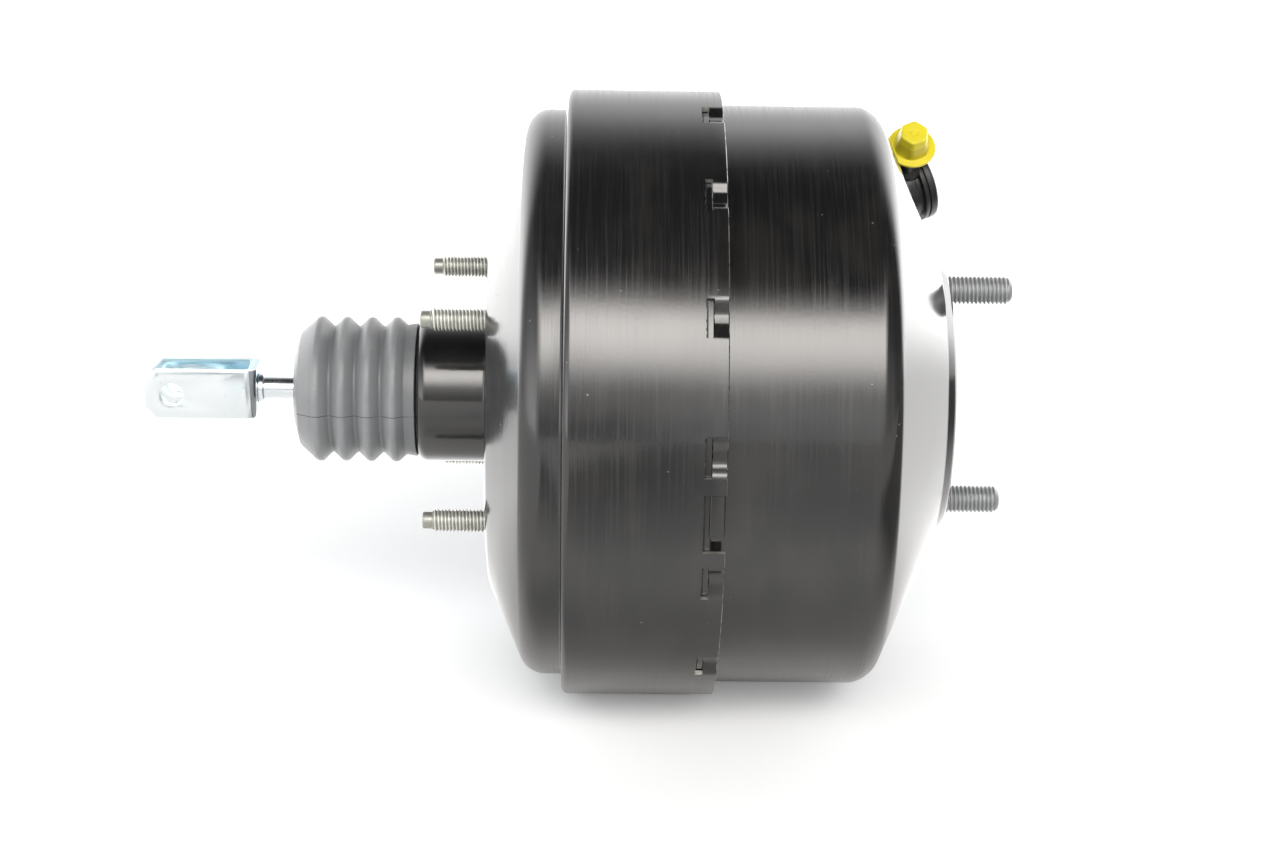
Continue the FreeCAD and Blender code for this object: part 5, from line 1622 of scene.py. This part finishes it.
@dataclass
class Studio:
    """Floor, light and camera of the studio view."""

    floor: float = -0.1096
    floor_half: float = 7.0
    floor_tone: float = 0.98
    floor_seen: Colour = (0.955, 0.972, 0.99, 1.0)
    shade_middle: float = 0.05
    shade_half: float = 0.07
    # Strength of the floor's glow: a painted reflection behind the booster, plus an even glow that the camera
    # sees on the floor.
    glow: float = 3.0
    back_glow: float = 0.38
    front_glow: float = 0.055
    elevation: float = 18.0
    distance: float = 0.910
    drop: float = 0.012
    centre: float = 0.036
    lens: float = 70.1
    sensor: float = 36.0
    clip_end: float = 50.0
    yaw: float = 1.149
    roll: float = 0.66
    softbox_level: float = 7.5
    softbox_tint: Colour = (1.0, 0.965, 0.925, 1.0)
    softbox: tuple[tuple[float, float], ...] = (
        (0.08, 0.0), (0.16, 0.035), (0.25, 0.07), (0.30, 0.095), (0.35, 0.18), (0.43, 0.44),
        (0.49, 0.70), (0.56, 0.90), (0.62, 1.0), (0.68, 0.97), (0.73, 0.68), (0.78, 0.24),
        (0.83, 0.05), (0.87, 0.0))
    ceiling: tuple[tuple[float, float], ...] = (
        (0.0, 1.0), (0.16, 1.0), (0.40, 0.68), (0.60, 0.36), (0.74, 0.16), (0.83, 0.07),
        (0.90, 0.03), (1.0, 0.03))
    wall_level: float = 5.0
    east_wall: tuple[tuple[float, float], ...] = (
        (0.0, 0.24), (0.02, 0.20), (0.1, 0.12), (0.25, 0.09), (0.42, 0.04), (0.62, 0.03),
        (0.70, 0.45), (0.76, 1.0), (0.82, 1.0), (0.90, 0.70), (0.95, 0.42), (1.0, 0.28))
    west_wall: tuple[tuple[float, float], ...] = (
        (0.0, 0.07), (0.02, 0.11), (0.1, 0.5), (0.25, 0.46), (0.42, 0.24), (0.53, 0.16),
        (0.62, 0.30), (0.70, 0.9), (0.78, 1.0), (0.88, 0.70), (0.95, 0.42), (1.0, 0.28))
    # Painted reflection: the floor's tone in reflections and bounce light, over its distance in front of the
    # booster.
    floor_painted_reflection: tuple[tuple[float, float], ...] = (
        (0.0, 0.28), (0.10, 0.30), (0.20, 0.34), (0.31, 0.45), (0.41, 0.68), (0.46, 0.97),
        (0.50, 1.0), (0.54, 0.70), (0.565, 0.68), (0.59, 1.0), (1.0, 1.0))

    def lay_floor(self) -> None:
        """Lay the pale floor, bright to the camera and true in its shadow, with painted reflections: for
        other rays its tone is set by place, and behind the booster it glows for glossy rays.
        """
        mesh = bmesh.new()
        bmesh.ops.create_grid(mesh, x_segments=1, y_segments=1, size=self.floor_half)
        bmesh.ops.translate(mesh, vec=(0, 0, self.floor), verts=mesh.verts[:])
        data = bpy.data.meshes.new("studio_floor")
        mesh.to_mesh(data)
        mesh.free()
        floor = bpy.data.objects.new("studio_floor", data)
        bpy.context.scene.collection.objects.link(floor)
        made = bpy.data.materials.new("studio_floor")
        made.use_nodes = True
        bench = Bench(made.node_tree)
        x, y, _ = bench.split(bench.place())
        aside = abs(x - self.shade_middle) - self.shade_half
        behind = (y + 0.09 - aside.most(0.0) * 0.5).rise(-0.06, 0.06)
        # Painted reflection: for every ray but the camera's, the floor is darker in a strip in front of the
        # booster and beside its front end, so that the paint reflects that.
        painted_reflection = bench.graded(y + 0.65, self.floor_painted_reflection)
        painted_reflection = painted_reflection + (1.0 - painted_reflection) * x.rise(0.0, 0.2, 0.0, 0.5).most(x.fall(-0.07, -0.01))
        painted_reflection = painted_reflection * (1.0 - x.rise(0.14, 0.3) * y.rise(-0.45, -0.25) * (1.0 - behind) * 0.8)
        path = bench.add("ShaderNodeLightPath")
        seen = Field(bench, path.outputs["Is Camera Ray"])
        mirrored = Field(bench, path.outputs["Is Glossy Ray"])
        # Painted reflection: behind the booster the floor glows for glossy rays only, so that it shows in the
        # casings' reflections. The camera sees an even glow on the whole floor.
        far = (y + aside.most(0.0)).rise(0.9, 1.8, self.back_glow, 1.0)
        glow = behind * mirrored * y.rise(0.0, 0.1) * far
        tone = bench.mixed(painted_reflection, grey(0.0), grey(self.floor_tone))
        bench.surface({"Base Color": bench.mixed(seen, tone, self.floor_seen),
                       "Roughness": 0.9, "Specular IOR Level": 0.0,
                       "Emission Color": bench.mixed(glow.most(seen * self.front_glow), grey(0.0), grey(1.0)),
                       "Emission Strength": self.glow})
        data.materials.append(made)

    def light_room(self) -> None:
        """Set the room's light: pale walls, a dark ceiling and the wide softbox over the camera."""
        world = bpy.data.worlds.new("studio_room")
        world.use_nodes = True
        bpy.context.scene.world = world
        bench = Bench(world.node_tree)
        direction = Field(bench, bench.add("ShaderNodeTexCoord").outputs["Generated"])
        across, side, height = bench.split(direction)
        east = across.rise(-0.08, 0.08)
        turn = side * 0.5 + 0.5
        walls = bench.graded(turn, self.east_wall) * east + bench.graded(turn, self.west_wall) * (1.0 - east)
        walls = walls * bench.graded(height, self.ceiling) * self.wall_level
        lamp = bench.graded(height + across * 0.12, self.softbox) * self.softbox_level
        lamp = lamp * abs(across - 0.06).fall(0.38, 0.62) * side.fall(-0.25, -0.05)
        lamp = lamp * across.rise(-0.45, -0.05, 0.4, 1.0)
        seen = Field(bench, bench.add("ShaderNodeLightPath").outputs["Is Camera Ray"])
        strength = (walls + lamp) * (1.0 - seen) + seen
        warm = bench.mixed(lamp / (walls + lamp), grey(1.0), self.softbox_tint)
        colour = bench.mixed(seen, warm, grey(1.0))
        background = bench.add("ShaderNodeBackground", None, {"Color": colour, "Strength": strength})
        output = bench.add("ShaderNodeOutputWorld")
        bench.tree.links.new(background.outputs[0], output.inputs["Surface"])

    def place_camera(self) -> None:
        """Place the camera at the photograph's angle."""
        tilt = math.radians(self.elevation)
        back = Vector((0.0, -math.cos(tilt), math.sin(tilt)))
        up = Vector((0.0, math.sin(tilt), math.cos(tilt)))
        place = Vector((self.centre, 0.0, 0.0)) + back * self.distance - up * self.drop
        camera = bpy.data.cameras.new("camera")
        camera.lens = self.lens
        camera.sensor_width = self.sensor
        camera.clip_end = self.clip_end
        holder = bpy.data.objects.new("camera", camera)
        bpy.context.scene.collection.objects.link(holder)
        pan = Matrix.Rotation(math.radians(-self.yaw), 3, up)
        back = pan @ back
        right = pan @ Vector((1.0, 0.0, 0.0))
        lean = Matrix.Rotation(math.radians(self.roll), 3, back)
        matrix = Matrix((lean @ right, lean @ up, back)).transposed().to_4x4()
        matrix.translation = place
        holder.matrix_world = matrix
        bpy.context.scene.camera = holder

    def build(self) -> None:
        """Set up the whole studio."""
        bpy.context.scene.view_settings.view_transform = "Standard"
        self.lay_floor()
        self.light_room()
        self.place_camera()
        log.info("studio: floor at %.4f m, camera lens %.1f mm", self.floor, self.lens)


def main() -> None:
    """Build the studio and the booster's sub-assemblies in order."""
    logging.basicConfig(level=logging.INFO, format="%(name)s: %(message)s")
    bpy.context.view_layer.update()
    Studio().build()
    PackedPieces().dress()
    RearShell().build()
    FrontShell().build()
    bulkhead_studs().build()
    cylinder_studs().build()
    DustBoot().build()
    PedalFork().build()
    VacuumValve().build()
    for spring in SPRINGS:
        spring.build()
    Diaphragms().build()


if __name__ == "__main__":
    main()
